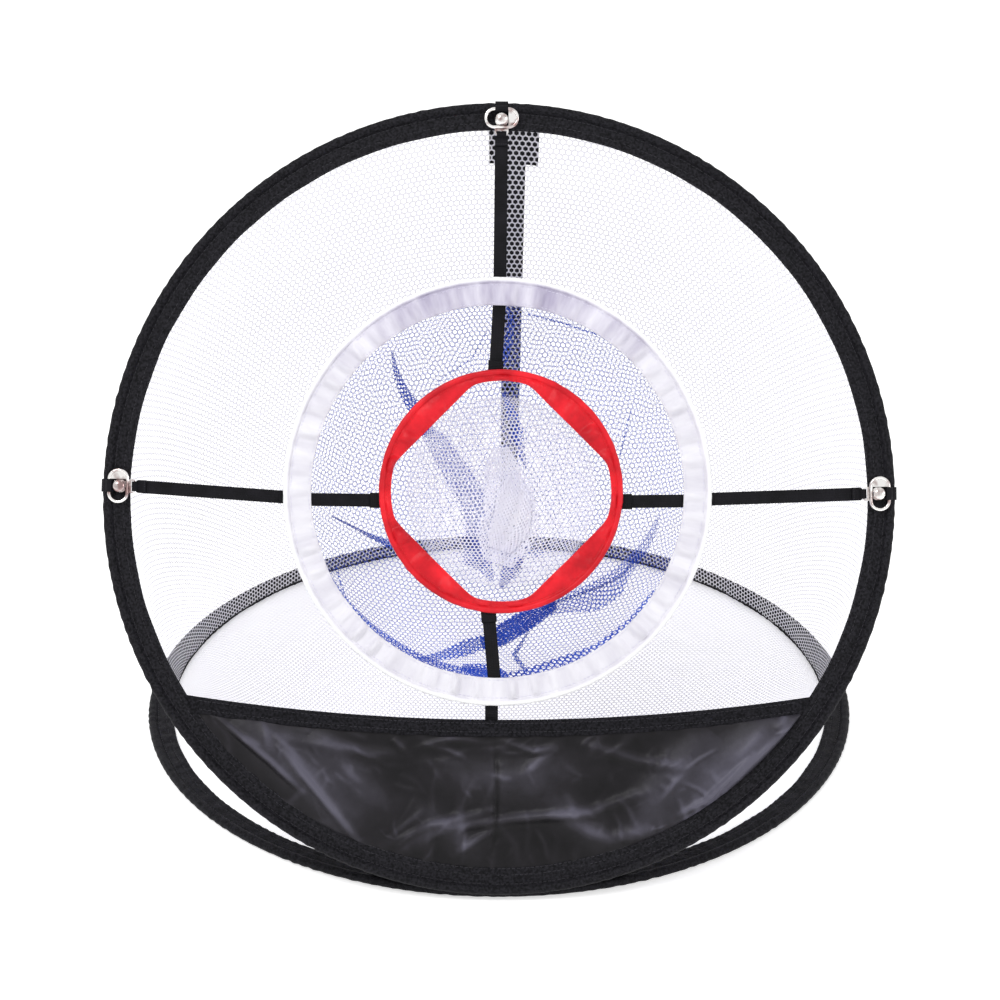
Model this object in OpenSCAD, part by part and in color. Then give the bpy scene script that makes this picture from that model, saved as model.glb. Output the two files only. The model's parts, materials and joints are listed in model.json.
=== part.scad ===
// Pop-up golf chipping net. Two sprung hoops of equal size are sewn together at the front:
// one lies flat as the base, the other leans back above it and carries a hung target.
// The target is a white ring with a red ring inside it, held on webbing straps.
// Frame: +Z up, the player stands at -Y, the origin is on the floor at the centre of the box.

/* [Hoops] */
// Outer diameter of the front hoop and of the base hoop
hoop_d = 520; // [420:1:700]
// How far the front hoop leans back from upright, in degrees
lean = 26; // [12:1:38]
// Outer diameter of the wire tunnel along the hoop's outer edge
bead_d = 6.4; // [5.6:0.1:9]
// Width of the sewn sleeve, from the hoop's outer edge to its inner edge
sleeve_w = 18; // [14:0.5:26]
// Thickness of the flat part of the sleeve
sleeve_t = 1.2; // [0.8:0.1:2]
// Diameter of the spring wire in both hoops
hoop_wire_d = 2.5; // [1.6:0.1:3]
// Length of the crimped ferrule that closes a wire
ferrule_l = 28; // [12:1:50]
// Wall of the ferrule
ferrule_wall = 0.7; // [0.4:0.05:0.9]
// How much the base sleeve is pressed flat by the floor
foot_flat = 0.3; // [0.1:0.05:0.6]

/* [Target] */
// Outer diameter of the white ring
white_d = 281; // [220:1:330]
// Width of the white sleeve
white_w = 18.4; // [10:0.2:26]
// Outer diameter of the red ring
red_d = 160; // [110:1:180]
// Width of the red sleeve where a strap meets it
red_w = 8; // [6:0.2:14]
// Width of the red sleeve halfway between two straps
red_w_wide = 17.5; // [15:0.5:26]
// Outer diameter of the wire tunnel of both rings
ring_bead_d = 4; // [3.6:0.1:6]
// Diameter of the wire in both rings
ring_wire_d = 1.8; // [1.2:0.1:2.2]
// Wall of the ferrules on the ring wires
ring_ferrule_wall = 0.4; // [0.25:0.05:0.5]
// Thickness of the flat part of the ring sleeves
ring_sleeve_t = 1; // [0.6:0.1:1.4]
// How far the target hangs above the middle of the front hoop
target_up = 5; // [0:0.5:15]
// How far the target stands out from the plane of the front hoop
target_out = 4; // [3.6:0.1:8]
// Depth of the blue net bag behind the white ring
blue_depth = 74; // [40:1:90]
// Depth of the white net bag behind the red ring
red_depth = 46; // [25:1:52]

/* [Straps] */
// Width of the webbing straps
strap_w = 8.5; // [7:0.1:11]
// Thickness of the webbing straps
strap_t = 0.8; // [0.5:0.05:1]
// Width of a strap where it passes through its hook
eye_w = 6.4; // [5:0.1:7]
// Length of the doubled end of a strap
fold_l = 6; // [3:0.5:12]
// Width of the strap down the back
rear_strap_w = 16; // [10:0.5:25]
// How far the strap down the back lies to the right of the middle
rear_strap_x = 10; // [0:0.5:20]

/* [Metal links and hooks] */
// Diameter of the link's wire
link_wire_d = 2.2; // [1.6:0.1:2.6]
// Length of the oval link along the hoop
link_l = 23; // [20:0.5:30]
// Width of the oval link across the sleeve
link_w = 14; // [13:0.2:16]
// Thickness of the plate that closes one end of the link
link_web_t = 1.2; // [0.6:0.1:1.6]
// How far the link's middle stands out from the hoop's plane
link_out = 5.6; // [5.5:0.1:8]
// How far the link's outer edge lies inside the hoop's outer edge
link_inset = 3.6; // [3.2:0.1:5]
// Thickness of the hook's metal
hook_t = 1.2; // [0.8:0.1:1.4]
// Width of the hook
hook_w = 9; // [8.6:0.1:10]
// Length of the hook's tongue inside the link
tongue_l = 6.2; // [3:0.1:6.6]

/* [Front panel] */
// Height of the top edge of the panel above the hoop's lowest point, at its middle
panel_h = 115; // [80:1:140]
// How far the top edge rises from its middle to its ends
panel_rise = 22; // [10:1:40]
// Thickness of the panel
panel_t = 0.8; // [0.5:0.05:1]
// Height of the binding along the top edge
binding_h = 11; // [6:0.5:18]

/* [Nets] */
// Thickness of the woven nets
net_t = 0.5; // [0.3:0.05:0.8]
// Where the side seams leave the front hoop, as an angle from its top
net_front_a = 121; // [105:1:135]
// Where the side seams reach the base hoop, as an angle from its back
net_base_a = 90; // [75:1:100]

/* [Hidden] */
$fn = 96;

// Clearances: between a piece and what it lies against, and between wire, crimp and tunnel
seat = 0.3;
crimp = 0.04;
wire_gap = 1.5;
bead_r = bead_d / 2;
wire_r = hoop_wire_d / 2;
ferrule_r = wire_r + crimp + ferrule_wall;
tunnel_r = bead_r - 0.8;
hoop_r = hoop_d / 2 - bead_r;
edge_r = hoop_d / 2 - sleeve_w;

// The front bead rolls round the base bead, up and forward of it at rest
roll = bead_d + seat;
roll_y = roll * cos(45);
roll_z = roll * sin(45);
base_y = roll_y / 2;
base_z = bead_r - foot_flat;
front_y = base_y - hoop_r - roll_y + hoop_r * sin(lean);
front_z = base_z + roll_z + hoop_r * cos(lean);
// Half of the angle between the two hoops
half_a = (90 - lean) / 2;

ring_bead_r = ring_bead_d / 2;
ring_wire_r = ring_wire_d / 2;
ring_ferrule_r = ring_wire_r + crimp + ring_ferrule_wall;
ring_tunnel_r = ring_bead_r - 0.5;
white_r = white_d / 2 - ring_bead_r;
white_edge_r = white_d / 2 - white_w;
white_c = [-1, target_up];
red_r = red_d / 2 - ring_bead_r;
red_c = [1.3, target_up];
// Height of the straps' middle plane behind the rings
strap_c = target_out - ring_bead_r - seat - strap_t / 2;

link_r = link_wire_d / 2;
link_half_w = link_w / 2 - link_r;
link_half_l = link_l / 2 - link_w / 2;
// Places along the inward line, counted from the middle of the bead
pivot_x = link_inset + link_r - bead_r;
limb_x = pivot_x + 2 * link_half_w;
hook_r = link_r + seat;
slot_x = limb_x + hook_r + 1;
slot_w = strap_t + 2 * seat + 0.2;
bar_x = slot_x + slot_w;
hook_end_x = bar_x + hook_t;
hook_c = link_out - hook_r - hook_t;
eye_c = hook_c - seat - strap_t / 2;
// Angle on the hoop and side of the closed end of each link
top_a = 89.6;
left_a = 178;
right_a = 0.8;

panel_r = (pow(edge_r, 2) + pow(panel_rise, 2)) / (2 * panel_rise);
panel_y = panel_h - hoop_d / 2 + panel_r;
panel_x = 4;

// ---- Frames and shared forms ----

module on_base() {
    translate([0, base_y, base_z]) children();
}

// The front hoop's own plane: x right, y up along the hoop, z out towards the player
module on_front() {
    translate([0, front_y, front_z]) rotate([90 - lean, 0, 0]) children();
}

// A fitting on the front hoop: x inward from the middle of the bead, y along the hoop
module at_hoop(a) {
    on_front() translate([hoop_r * cos(a), hoop_r * sin(a), 0]) rotate([0, 0, a + 180]) children();
}

// A point on the front hoop's plane and one on the base hoop's, in the part's frame
function front_pt(a, r, c) = [
    r * sin(a),
    front_y + r * cos(a) * sin(lean) - c * cos(lean),
    front_z + r * cos(a) * cos(lean) + c * sin(lean)
];
function base_pt(a, r, c) = [r * sin(a), base_y + r * cos(a), base_z + c];

module ring_wire(r, wire, start) {
    gap = wire_gap / r * 180 / PI;
    rotate([0, 0, start + gap / 2]) rotate_extrude(angle = 360 - gap) translate([r, 0]) circle(wire);
}

module ring_ferrule(r, wire, outer, start) {
    span = ferrule_l / r * 180 / PI;
    rotate([0, 0, start - span / 2]) rotate_extrude(angle = span) translate([r, 0]) difference() {
        circle(outer);
        circle(wire + crimp);
    }
}

module sleeve_profile(r, bead, tunnel, edge, t) {
    difference() {
        union() {
            translate([r, 0]) circle(bead);
            translate([edge, -t / 2]) square([r - edge, t]);
        }
        translate([r, 0]) circle(tunnel);
    }
}

// A thin skin over a grid of points: p[i][j] is its middle surface, t its thickness
function unit(v) = v / norm(v);
function across(p, i, j) = let (
    n = len(p) - 1,
    m = len(p[0]) - 1,
    u = p[min(i + 1, n)][j] - p[max(i - 1, 0)][j],
    v = p[i][min(j + 1, m)] - p[i][max(j - 1, 0)]
) unit(cross(u, v));

// Beyond the grid there is nothing, and a meshed skin is open at every other row, two columns in three
function is_gap(i, j, n, m, meshed) =
    i < 0 || j < 0 || i > n - 2 || j > m - 2 || (meshed && i % 3 != 0 && j % 2 == 1);

module skin(p, t, lift = 0, meshed = false) {
    n = len(p);
    m = len(p[0]);
    side = [for (s = [-1, 1]) [for (i = [0:n - 1]) for (j = [0:m - 1])
        p[i][j] + across(p, i, j) * (lift + s * t / 2)]];
    far = n * m;
    faces = [
        for (i = [0:n - 2]) for (j = [0:m - 2]) if (!is_gap(i, j, n, m, meshed))
            let (a = i * m + j, b = a + m, c = b + 1, d = a + 1) each concat(
                [[a, c, d], [a, b, c], [far + a, far + d, far + c], [far + a, far + c, far + b]],
                is_gap(i, j - 1, n, m, meshed) ? [[a, far + b, b], [a, far + a, far + b]] : [],
                is_gap(i, j + 1, n, m, meshed) ? [[d, c, far + c], [d, far + c, far + d]] : [],
                is_gap(i - 1, j, n, m, meshed) ? [[a, d, far + d], [a, far + d, far + a]] : [],
                is_gap(i + 1, j, n, m, meshed) ? [[b, far + c, c], [b, far + b, far + c]] : []
            )
    ];
    polyhedron(concat(side[0], side[1]), faces, convexity = 6);
}

// ---- The two hoops ----

module base_hoop_wire() {
    color("slategray") on_base() ring_wire(hoop_r, wire_r, 60);
}

module base_hoop_ferrule() {
    color("silver") on_base() ring_ferrule(hoop_r, wire_r, ferrule_r, 60);
}

module base_hoop_sleeve() {
    color("#29282d") on_base() rotate_extrude() difference() {
        sleeve_profile(hoop_r, bead_r, tunnel_r, edge_r, sleeve_t);
        translate([edge_r, -base_z - bead_d]) square([hoop_d, bead_d]);
    }
}

module front_hoop_wire() {
    color("slategray") on_front() ring_wire(hoop_r, wire_r, 130);
}

module front_hoop_ferrule() {
    color("silver") on_front() ring_ferrule(hoop_r, wire_r, ferrule_r, 130);
}

module front_hoop_sleeve() {
    color("#27262b") on_front() rotate_extrude() sleeve_profile(hoop_r, bead_r, tunnel_r, edge_r, sleeve_t);
}

// A strip sewn between the two sleeves, which lets the front hoop fold
gusset_a = 20;
gusset_r = hoop_r - bead_r - 3;
gusset_c = sleeve_t / 2 + seat + net_t / 2;
module hinge_gusset() {
    grid = [for (i = [-8:8]) let (a = 180 - gusset_a * i / 8)
        [for (s = [0:0.5:1])
            (1 - s) * front_pt(a, gusset_r, -gusset_c) + s * base_pt(a, gusset_r, gusset_c)]];
    color("#202024") skin(grid, net_t);
}

// ---- Front panel ----

module below_arc(drop) {
    difference() {
        circle(edge_r - seat);
        translate([panel_x, panel_y]) circle(panel_r + drop, $fn = 360);
    }
}

module front_panel() {
    color("#34323a") on_front() translate([0, 0, -panel_t / 2]) linear_extrude(panel_t)
        below_arc(binding_h + seat);
}

module panel_binding() {
    color("#1c1b20") on_front() translate([0, 0, -sleeve_t / 2]) linear_extrude(sleeve_t) difference() {
        below_arc(0);
        below_arc(binding_h);
    }
}

// ---- Nets: ruled from the front hoop to the base hoop, and parted on the half-angle plane ----

net_r = edge_r + 2;
net_c = sleeve_t / 2 + seat + net_t / 2;
floor_r = edge_r - seat - net_t / 2;
// f runs from -1 at the left seam to 1 at the right seam
function back_ends(f) = [
    front_pt(net_front_a * f, net_r, -net_c),
    base_pt(net_base_a * f, net_r, net_c)
];
function floor_ends(f) = [
    front_pt(180 - (180 - net_front_a) * f, net_r, -net_c),
    base_pt(net_base_a * f, floor_r, 0)
];
// Signed distance from the half-angle plane, positive towards the base
function side_of(p) = (p[1] - base_y + hoop_r) * sin(half_a) - (p[2] - base_z) * cos(half_a);
function part_at(e) = -side_of(e[0]) / (side_of(e[1]) - side_of(e[0]));
function rule(e, s) = (1 - s) * e[0] + s * e[1];
// The upper part of a ruled line, from the front hoop, and the lower part, from the base hoop
halves = [0, 0.5, 1];
function upper(e, shares = halves) = let (m = part_at(e) - seat / 2 / norm(e[1] - e[0]))
    [for (s = shares) rule(e, m * s)];
function lower(e, shares = halves) = let (m = part_at(e) + seat / 2 / norm(e[1] - e[0]))
    [for (s = shares) rule(e, m + (1 - m) * s)];
floor_n = 14;
floor_f = 0.985;
// The back net is open: this many openings across and along each half, each too low for a ball
mesh_across = 12;
mesh_along = 5;
mesh_bar = 0.6;
back_n = 3 * mesh_across + 1;
mesh_fs = [for (i = [0:back_n]) 2 * i / back_n - 1];
mesh_rows = [for (k = [0:mesh_along]) each [k, k + mesh_bar]] / (mesh_along + mesh_bar);

module back_net_upper() {
    color("#f0eff4") skin([for (f = mesh_fs) upper(back_ends(f), mesh_rows)], net_t, meshed = true);
}

module back_net_lower() {
    color("#f0eff4") skin([for (f = mesh_fs) lower(back_ends(f), mesh_rows)], net_t, meshed = true);
}

module floor_net_upper() {
    color("#eceaf1") skin([for (i = [-floor_n:floor_n]) upper(floor_ends(floor_f * i / floor_n))], net_t);
}

module floor_net_lower() {
    color("#eceaf1") skin([for (i = [-floor_n:floor_n]) lower(floor_ends(floor_f * i / floor_n))], net_t);
}

// ---- The strap down the back ----

strap_lift = net_t / 2 + seat + strap_t / 2;
patch_w = 33;
patch_l = 32;
tail_l = 47;
function f_at(x) = asin(x / net_r) / net_front_a;
function strap_fs(w) = [for (i = [-2:2]) f_at(rear_strap_x + w * i / 4)];

module rear_strap_upper() {
    color("#1e1d22") skin([for (f = strap_fs(rear_strap_w)) upper(back_ends(f))], strap_t, strap_lift);
}

module rear_strap_lower() {
    color("#1e1d22") skin([for (f = strap_fs(rear_strap_w)) lower(back_ends(f))], strap_t, strap_lift);
}

module rear_strap_patch() {
    grid = [for (f = strap_fs(patch_w)) let (e = back_ends(f), s = patch_l / norm(e[1] - e[0]))
        [for (k = [0:0.5:1]) rule(e, s * k)]];
    color("#1a191e") skin(grid, strap_t, strap_lift + strap_t + seat);
}

module rear_strap_tail() {
    far_x = rear_strap_x + rear_strap_w / 2;
    end_y = sqrt(pow(hoop_r - bead_r - seat, 2) - pow(far_x, 2));
    color("#1e1d22") on_base()
        translate([far_x - rear_strap_w, end_y - tail_l, -sleeve_t / 2 - seat - strap_t])
            cube([rear_strap_w, tail_l, strap_t]);
}

// ---- Tabs, links and hooks on the front hoop ----

// Webbing folded round the bead and round the outer limb of the link
module hoop_tab(a) {
    wrap = bead_r + seat;
    loop = link_r + seat;
    back_c = -sleeve_t / 2 - seat - strap_t;
    end_x = hoop_r - net_r - net_t - strap_t - 2 * seat;
    color("#232228") at_hoop(a) translate([0, strap_w / 2, 0]) rotate([90, 0, 0]) linear_extrude(strap_w) {
        difference() {
            union() {
                difference() {
                    circle(wrap + strap_t);
                    translate([0, -hoop_d]) square([hoop_d, 2 * hoop_d]);
                }
                translate([pivot_x, link_out]) circle(loop + strap_t);
                translate([0, wrap]) square([pivot_x + 0.4, strap_t]);
            }
            circle(wrap);
            translate([pivot_x, link_out]) circle(loop);
        }
        translate([0, -wrap - strap_t]) square([1.2, strap_t]);
        polygon([
            [1, -wrap - strap_t], [1, -wrap], [4.6, back_c + strap_t],
            [end_x, back_c + strap_t], [end_x, back_c], [4.4, back_c]
        ]);
    }
}

module top_hoop_tab() { hoop_tab(top_a); }
module left_hoop_tab() { hoop_tab(left_a); }
module right_hoop_tab() { hoop_tab(right_a); }

// Oval link: a wire ring with one end closed by a plate
module link(a, closed) {
    color("#d9d8dc") at_hoop(a) translate([pivot_x + link_half_w, 0, link_out]) {
        for (s = [-1, 1]) {
            translate([s * link_half_w, -link_half_l, 0]) rotate([-90, 0, 0])
                cylinder(link_half_l * 2, r = link_r);
            translate([0, s * link_half_l, 0]) rotate([0, 0, s > 0 ? 0 : 180])
                rotate_extrude(angle = 180) translate([link_half_w, 0]) circle(link_r);
        }
        translate([0, closed * link_half_l, -link_web_t / 2]) linear_extrude(link_web_t) intersection() {
            circle(link_half_w);
            translate([-link_half_w, closed > 0 ? 0 : -link_half_w]) square([2 * link_half_w, link_half_w]);
        }
    }
}

module top_link() { link(top_a, 1); }
module left_link() { link(left_a, 1); }
module right_link() { link(right_a, -1); }

// Hook: a tongue inside the link, a bend under the link's inner limb and a slotted plate for the strap
module hook(a) {
    tongue_w = hook_w - 0.8;
    bend_w = hook_w - 2.4;
    color("#cfced4") at_hoop(a) translate([limb_x, 0, link_out]) {
        translate([0, bend_w / 2, 0]) rotate([90, 0, 0]) linear_extrude(bend_w) {
            difference() {
                circle(hook_r + hook_t);
                circle(hook_r);
                translate([-hoop_d, 0]) square([2 * hoop_d, hoop_d]);
                translate([0, -hoop_d]) square([hoop_d, 2 * hoop_d]);
            }
            translate([0, -hook_r - hook_t]) square([1, hook_t]);
            translate([-hook_r - hook_t, 0]) square([hook_t, hook_t]);
        }
        translate([-hook_r - tongue_l / 2, 0, 0]) linear_extrude(hook_t * 1.3) intersection() {
            square([tongue_l, tongue_w], center = true);
            circle(norm([tongue_l, tongue_w]) / 2 - 0.8);
        }
        translate([0, 0, hook_c - link_out]) linear_extrude(hook_t) difference() {
            intersection() {
                translate([0.5, -hook_w / 2]) square([hook_end_x - limb_x - 0.5, hook_w]);
                translate([1.6, 0]) circle(norm([hook_end_x - limb_x - 1.6, eye_w / 2]));
            }
            translate([slot_x - limb_x, -eye_w / 2 - seat]) square([slot_w, eye_w + 2 * seat]);
        }
    }
}

module top_hook() { hook(top_a); }
module left_hook() { hook(left_a); }
module right_hook() { hook(right_a); }

// ---- Straps ----

// A flat band from one point to another in the front hoop's plane
module band(p, q) {
    d = q - p;
    flat = norm([d[0], d[1]]);
    on_front() translate(p) rotate([0, -atan2(d[2], flat), 0] + [0, 0, atan2(d[1], d[0])])
        translate([0, -strap_w / 2, -strap_t / 2]) cube([norm(d), strap_w, strap_t]);
}

function ring_pt(c, r, a, side, out = strap_c) = [
    c[0] + r * cos(a) - side * sin(a),
    c[1] + r * sin(a) + side * cos(a),
    out
];
function hoop_pt(a, x) = [(hoop_r - x) * cos(a), (hoop_r - x) * sin(a), eye_c];
lap = white_w / 2;
bottom_x = -4.9;
bottom_l = 10;

// A strap from its eye on a hook to the back of the white sleeve
module outer_strap(a, a_ring, side) {
    eye_x = hook_end_x + seat + strap_t;
    color("#1d1c21") {
        at_hoop(a) difference() {
            translate([bar_x - seat - strap_t, -eye_w / 2, eye_c - strap_t / 2])
                cube([hook_t + 2 * seat + 2 * strap_t, eye_w, hook_t + 2 * seat + 2 * strap_t]);
            translate([bar_x - seat, -eye_w, eye_c + strap_t / 2])
                cube([hook_t + 2 * seat, 2 * eye_w, hook_t + 2 * seat]);
        }
        at_hoop(a) translate([eye_x - strap_t / 2, -strap_w / 2, eye_c - strap_t / 2])
            cube([fold_l, strap_w, 2 * strap_t]);
        band(hoop_pt(a, eye_x - strap_t / 2), ring_pt(white_c, white_d / 2 - lap, a_ring, side));
    }
}

module top_strap() { outer_strap(top_a, 90, -1.5); }
module left_strap() { outer_strap(left_a, 180, 4.4); }
module right_strap() { outer_strap(right_a, 0, -5.4); }

// The bottom strap passes behind the binding and is sewn to the back of the panel
module bottom_strap() {
    top_y = panel_h - hoop_d / 2;
    path = [
        [white_c[1] - white_d / 2 + lap, strap_c],
        [top_y, -sleeve_t / 2 - seat - strap_t / 2],
        [top_y - binding_h - bottom_l, -sleeve_t / 2 - seat - strap_t / 2]
    ];
    half = [0, strap_t / 2];
    color("#1d1c21") on_front() translate([bottom_x - strap_w / 2, 0, 0]) rotate([90, 0, 90])
        linear_extrude(strap_w)
            polygon([for (p = path) p - half, for (i = [2:-1:0]) path[i] + half]);
}

// A strap between the backs of the two sleeves
module inner_strap(a, white_side, red_side) {
    flange_c = target_out - ring_sleeve_t / 2 - seat - strap_t / 2;
    color("#1d1c21") band(
        ring_pt(white_c, white_d / 2 - lap - 2 * seat, a, white_side, flange_c),
        ring_pt(red_c, red_d / 2 - red_w + 1, a, red_side)
    );
}

module top_inner_strap() { inner_strap(90, -1.7, 3.9); }
module left_inner_strap() { inner_strap(180, 5.2, 6); }
module right_inner_strap() { inner_strap(0, -6.2, -6.8); }
module bottom_inner_strap() { inner_strap(270, -1.4, -8.8); }

// ---- Rings of the target ----

module on_white() {
    on_front() translate([white_c[0], white_c[1], target_out]) children();
}

module on_red() {
    on_front() translate([red_c[0], red_c[1], target_out]) children();
}

module white_ring_wire() {
    color("slategray") on_white() ring_wire(white_r, ring_wire_r, 215);
}

module white_ring_ferrule() {
    color("silver") on_white() ring_ferrule(white_r, ring_wire_r, ring_ferrule_r, 215);
}

module white_ring_sleeve() {
    color("#efeef4") on_white() rotate_extrude()
        sleeve_profile(white_r, ring_bead_r, ring_tunnel_r, white_edge_r, ring_sleeve_t);
}

module red_ring_wire() {
    color("slategray") on_red() ring_wire(red_r, ring_wire_r, 262);
}

module red_ring_ferrule() {
    color("silver") on_red() ring_ferrule(red_r, ring_wire_r, ring_ferrule_r, 262);
}

// The red sleeve is narrow at the straps and wide between them, so its opening is a soft diamond
module red_opening(grow) {
    half = red_d / 2 - red_w_wide + grow;
    intersection() {
        circle(red_d / 2 - red_w + grow);
        rotate([0, 0, 45]) square([2 * half, 2 * half], center = true);
    }
}

module red_ring_sleeve() {
    color("#f5373c") on_red() {
        difference() {
            union() {
                rotate_extrude() translate([red_r, 0]) circle(ring_bead_r);
                translate([0, 0, -ring_sleeve_t / 2]) linear_extrude(ring_sleeve_t) difference() {
                    circle(red_r);
                    red_opening(0);
                }
            }
            rotate_extrude() translate([red_r, 0]) circle(ring_tunnel_r);
        }
    }
}

// ---- Net bags of the target ----

// A bag's middle surface: s from 0 at the mouth to 1 at the toe, which sags down the hoop
bag_n = 32;
bag_m = 7;
function bag_round(s) = sqrt(1 - pow(0.94 * s, 2));
function bag_grid(mouth, back, depth, sag) = [for (i = [0:bag_n]) let (a = 360 * i / bag_n)
    [for (k = [0:bag_m]) let (s = k / bag_m)
        [
            mouth * bag_round(s) * cos(a),
            mouth * bag_round(s) * sin(a) - sag * pow(s, 1.5),
            back - depth * s
        ]]];

// A closed cup of that surface with wall t: outer side, inner side, rim and toe
module bag(mouth, back, depth, sag, t) {
    out = bag_grid(mouth, back, depth, sag);
    inn = bag_grid(mouth - t, back, depth - t, sag);
    m = bag_m + 1;
    toe_out = 2 * bag_n * m;
    pts = [for (g = [out, inn]) for (i = [0:bag_n - 1]) for (k = [0:bag_m]) g[i][k]];
    toe = [[0, -sag, back - depth], [0, -sag, back - depth + t]];
    far = bag_n * m;
    faces = [
        for (i = [0:bag_n - 1]) let (j = (i + 1) % bag_n) each [
            for (k = [0:bag_m - 1]) each [
                [i * m + k, j * m + k, j * m + k + 1],
                [i * m + k, j * m + k + 1, i * m + k + 1],
                [far + i * m + k, far + j * m + k + 1, far + j * m + k],
                [far + i * m + k, far + i * m + k + 1, far + j * m + k + 1]
            ],
            [i * m, far + j * m, j * m],
            [i * m, far + i * m, far + j * m],
            [i * m + bag_m, j * m + bag_m, toe_out],
            [far + i * m + bag_m, toe_out + 1, far + j * m + bag_m]
        ]
    ];
    polyhedron(concat(pts, toe), faces, convexity = 6);
}

module blue_net() {
    color("#5a76b4") on_white()
        bag(white_edge_r + 4, -ring_sleeve_t / 2 - seat - strap_t - 2 * seat, blue_depth, 26, net_t);
}

module red_ring_net() {
    color("#dcdbe8") on_red()
        bag(red_d / 2 - red_w_wide - seat, -ring_sleeve_t / 2 - seat, red_depth, 14, net_t);
}

// ---- What is drawn ----

base_hoop_wire();
base_hoop_ferrule();
base_hoop_sleeve();
front_hoop_wire();
front_hoop_ferrule();
front_hoop_sleeve();
hinge_gusset();
front_panel();
panel_binding();
back_net_upper();
back_net_lower();
floor_net_upper();
floor_net_lower();
rear_strap_upper();
rear_strap_lower();
rear_strap_patch();
rear_strap_tail();
top_hoop_tab();
left_hoop_tab();
right_hoop_tab();
top_link();
left_link();
right_link();
top_hook();
left_hook();
right_hook();
top_strap();
left_strap();
right_strap();
bottom_strap();
white_ring_wire();
white_ring_ferrule();
white_ring_sleeve();
blue_net();
top_inner_strap();
left_inner_strap();
right_inner_strap();
bottom_inner_strap();
red_ring_wire();
red_ring_ferrule();
red_ring_sleeve();
red_ring_net();
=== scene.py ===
# %% [markdown]
# # A pop-up golf chipping net
# Two sprung hoops stand one on the other like an open clam. Netting closes the back, a ring target hangs in the
# mouth on webbing straps, and a glossy panel closes the lowest part. The solids and their motion are given.
# These cells give every piece its real surface: sewn sleeves, knitted net, webbing, plated metal.

import json

import bmesh
import bpy
import numpy as np
from mathutils import Matrix, Vector


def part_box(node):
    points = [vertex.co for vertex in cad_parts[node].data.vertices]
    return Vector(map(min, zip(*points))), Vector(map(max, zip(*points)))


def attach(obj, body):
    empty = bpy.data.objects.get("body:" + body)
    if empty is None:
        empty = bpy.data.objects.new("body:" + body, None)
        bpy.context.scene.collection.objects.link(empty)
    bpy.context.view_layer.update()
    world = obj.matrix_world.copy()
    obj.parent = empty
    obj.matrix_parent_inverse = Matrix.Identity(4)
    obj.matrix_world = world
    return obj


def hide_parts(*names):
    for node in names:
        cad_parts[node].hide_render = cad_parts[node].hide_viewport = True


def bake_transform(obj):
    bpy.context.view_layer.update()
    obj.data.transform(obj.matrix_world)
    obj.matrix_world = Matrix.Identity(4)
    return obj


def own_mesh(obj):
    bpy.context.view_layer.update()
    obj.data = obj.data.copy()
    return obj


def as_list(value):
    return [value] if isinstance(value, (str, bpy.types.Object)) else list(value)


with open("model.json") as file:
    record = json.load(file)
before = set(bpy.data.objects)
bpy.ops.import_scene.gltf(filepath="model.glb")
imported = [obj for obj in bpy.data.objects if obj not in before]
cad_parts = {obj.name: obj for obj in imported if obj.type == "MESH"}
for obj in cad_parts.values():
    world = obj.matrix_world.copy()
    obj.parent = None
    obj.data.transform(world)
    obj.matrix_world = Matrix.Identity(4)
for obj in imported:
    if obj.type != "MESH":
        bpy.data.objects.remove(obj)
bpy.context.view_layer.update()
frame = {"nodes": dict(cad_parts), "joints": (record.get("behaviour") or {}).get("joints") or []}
nodes = frame["nodes"]
joints = {j["name"]: j for j in frame["joints"]}

# %% [markdown]
# ## Two planes
# Everything on this net belongs to one of two flat hoops. A piece is easiest to think of in its own hoop's plane:
# x to the right, u up along the hoop, w out towards the player. One small class turns such places into the
# frame's own coordinates, and the frame itself says where each hoop is and how far the front one leans.

# %% Read the hoops from the frame
MM = 0.001


def middle(node):
    """The centre of a node's box and its size."""
    low, high = (np.array(c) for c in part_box(node))
    return (low + high) / 2, high - low


class Plane:
    """A hoop's plane: a centre and three unit directions x, u and w. place() turns (x, u, w) into the frame."""

    def __init__(self, centre, u, w):
        self.centre, self.x = np.array(centre), np.array([1.0, 0.0, 0.0])
        self.u, self.w = np.array(u), np.array(w)

    def place(self, x, u, w):
        """centre + x * right + u * up + w * out, for single numbers or whole arrays."""
        x, u, w = np.broadcast_arrays(x, u, w)
        return self.centre + x[..., None] * self.x + u[..., None] * self.u + w[..., None] * self.w

    def ring(self, angle, r, w=0.0):
        """A point on a circle in the plane: angle in radians from x towards u."""
        return self.place(r * np.cos(angle), r * np.sin(angle), w)


base_c, base_size = middle("base_hoop_wire")
front_c, _ = middle("front_hoop_wire")
white_c, white_size = middle("white_ring_wire")
red_c, red_size = middle("red_ring_wire")
back = np.array(joints["target_give"]["axis"])
OUT = -back / np.linalg.norm(back)
UP = np.array([0.0, OUT[2], -OUT[1]])
BASE = Plane(base_c, (0, 1, 0), (0, 0, 1))
FRONT = Plane(front_c, UP, OUT)
WIRE_R, RING_WIRE_R = 1.25 * MM, 0.9 * MM
HOOP_R = base_size[0] / 2 - WIRE_R
WHITE = Plane(white_c, UP, OUT)
RED = Plane(red_c, UP, OUT)
WHITE_R = white_size[0] / 2 - RING_WIRE_R
RED_R = red_size[0] / 2 - RING_WIRE_R
HINGE = np.array(joints["fold"]["pos_m"])
LEAN = np.degrees(np.arcsin(UP[1]))
print(f"hoop radius {HOOP_R:.4f}, white {WHITE_R:.4f}, red {RED_R:.4f}, lean {LEAN:.1f} degrees")

# %% [markdown]
# ## Making surfaces
# A sleeve, a strap or a bag is a grid of points bent into shape, so one helper turns any grid into a mesh. It can
# close the grid in either direction. A second one fattens a sheet into a thin solid with a rim all round, the way
# a strip of cloth has two faces and an edge.

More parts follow.
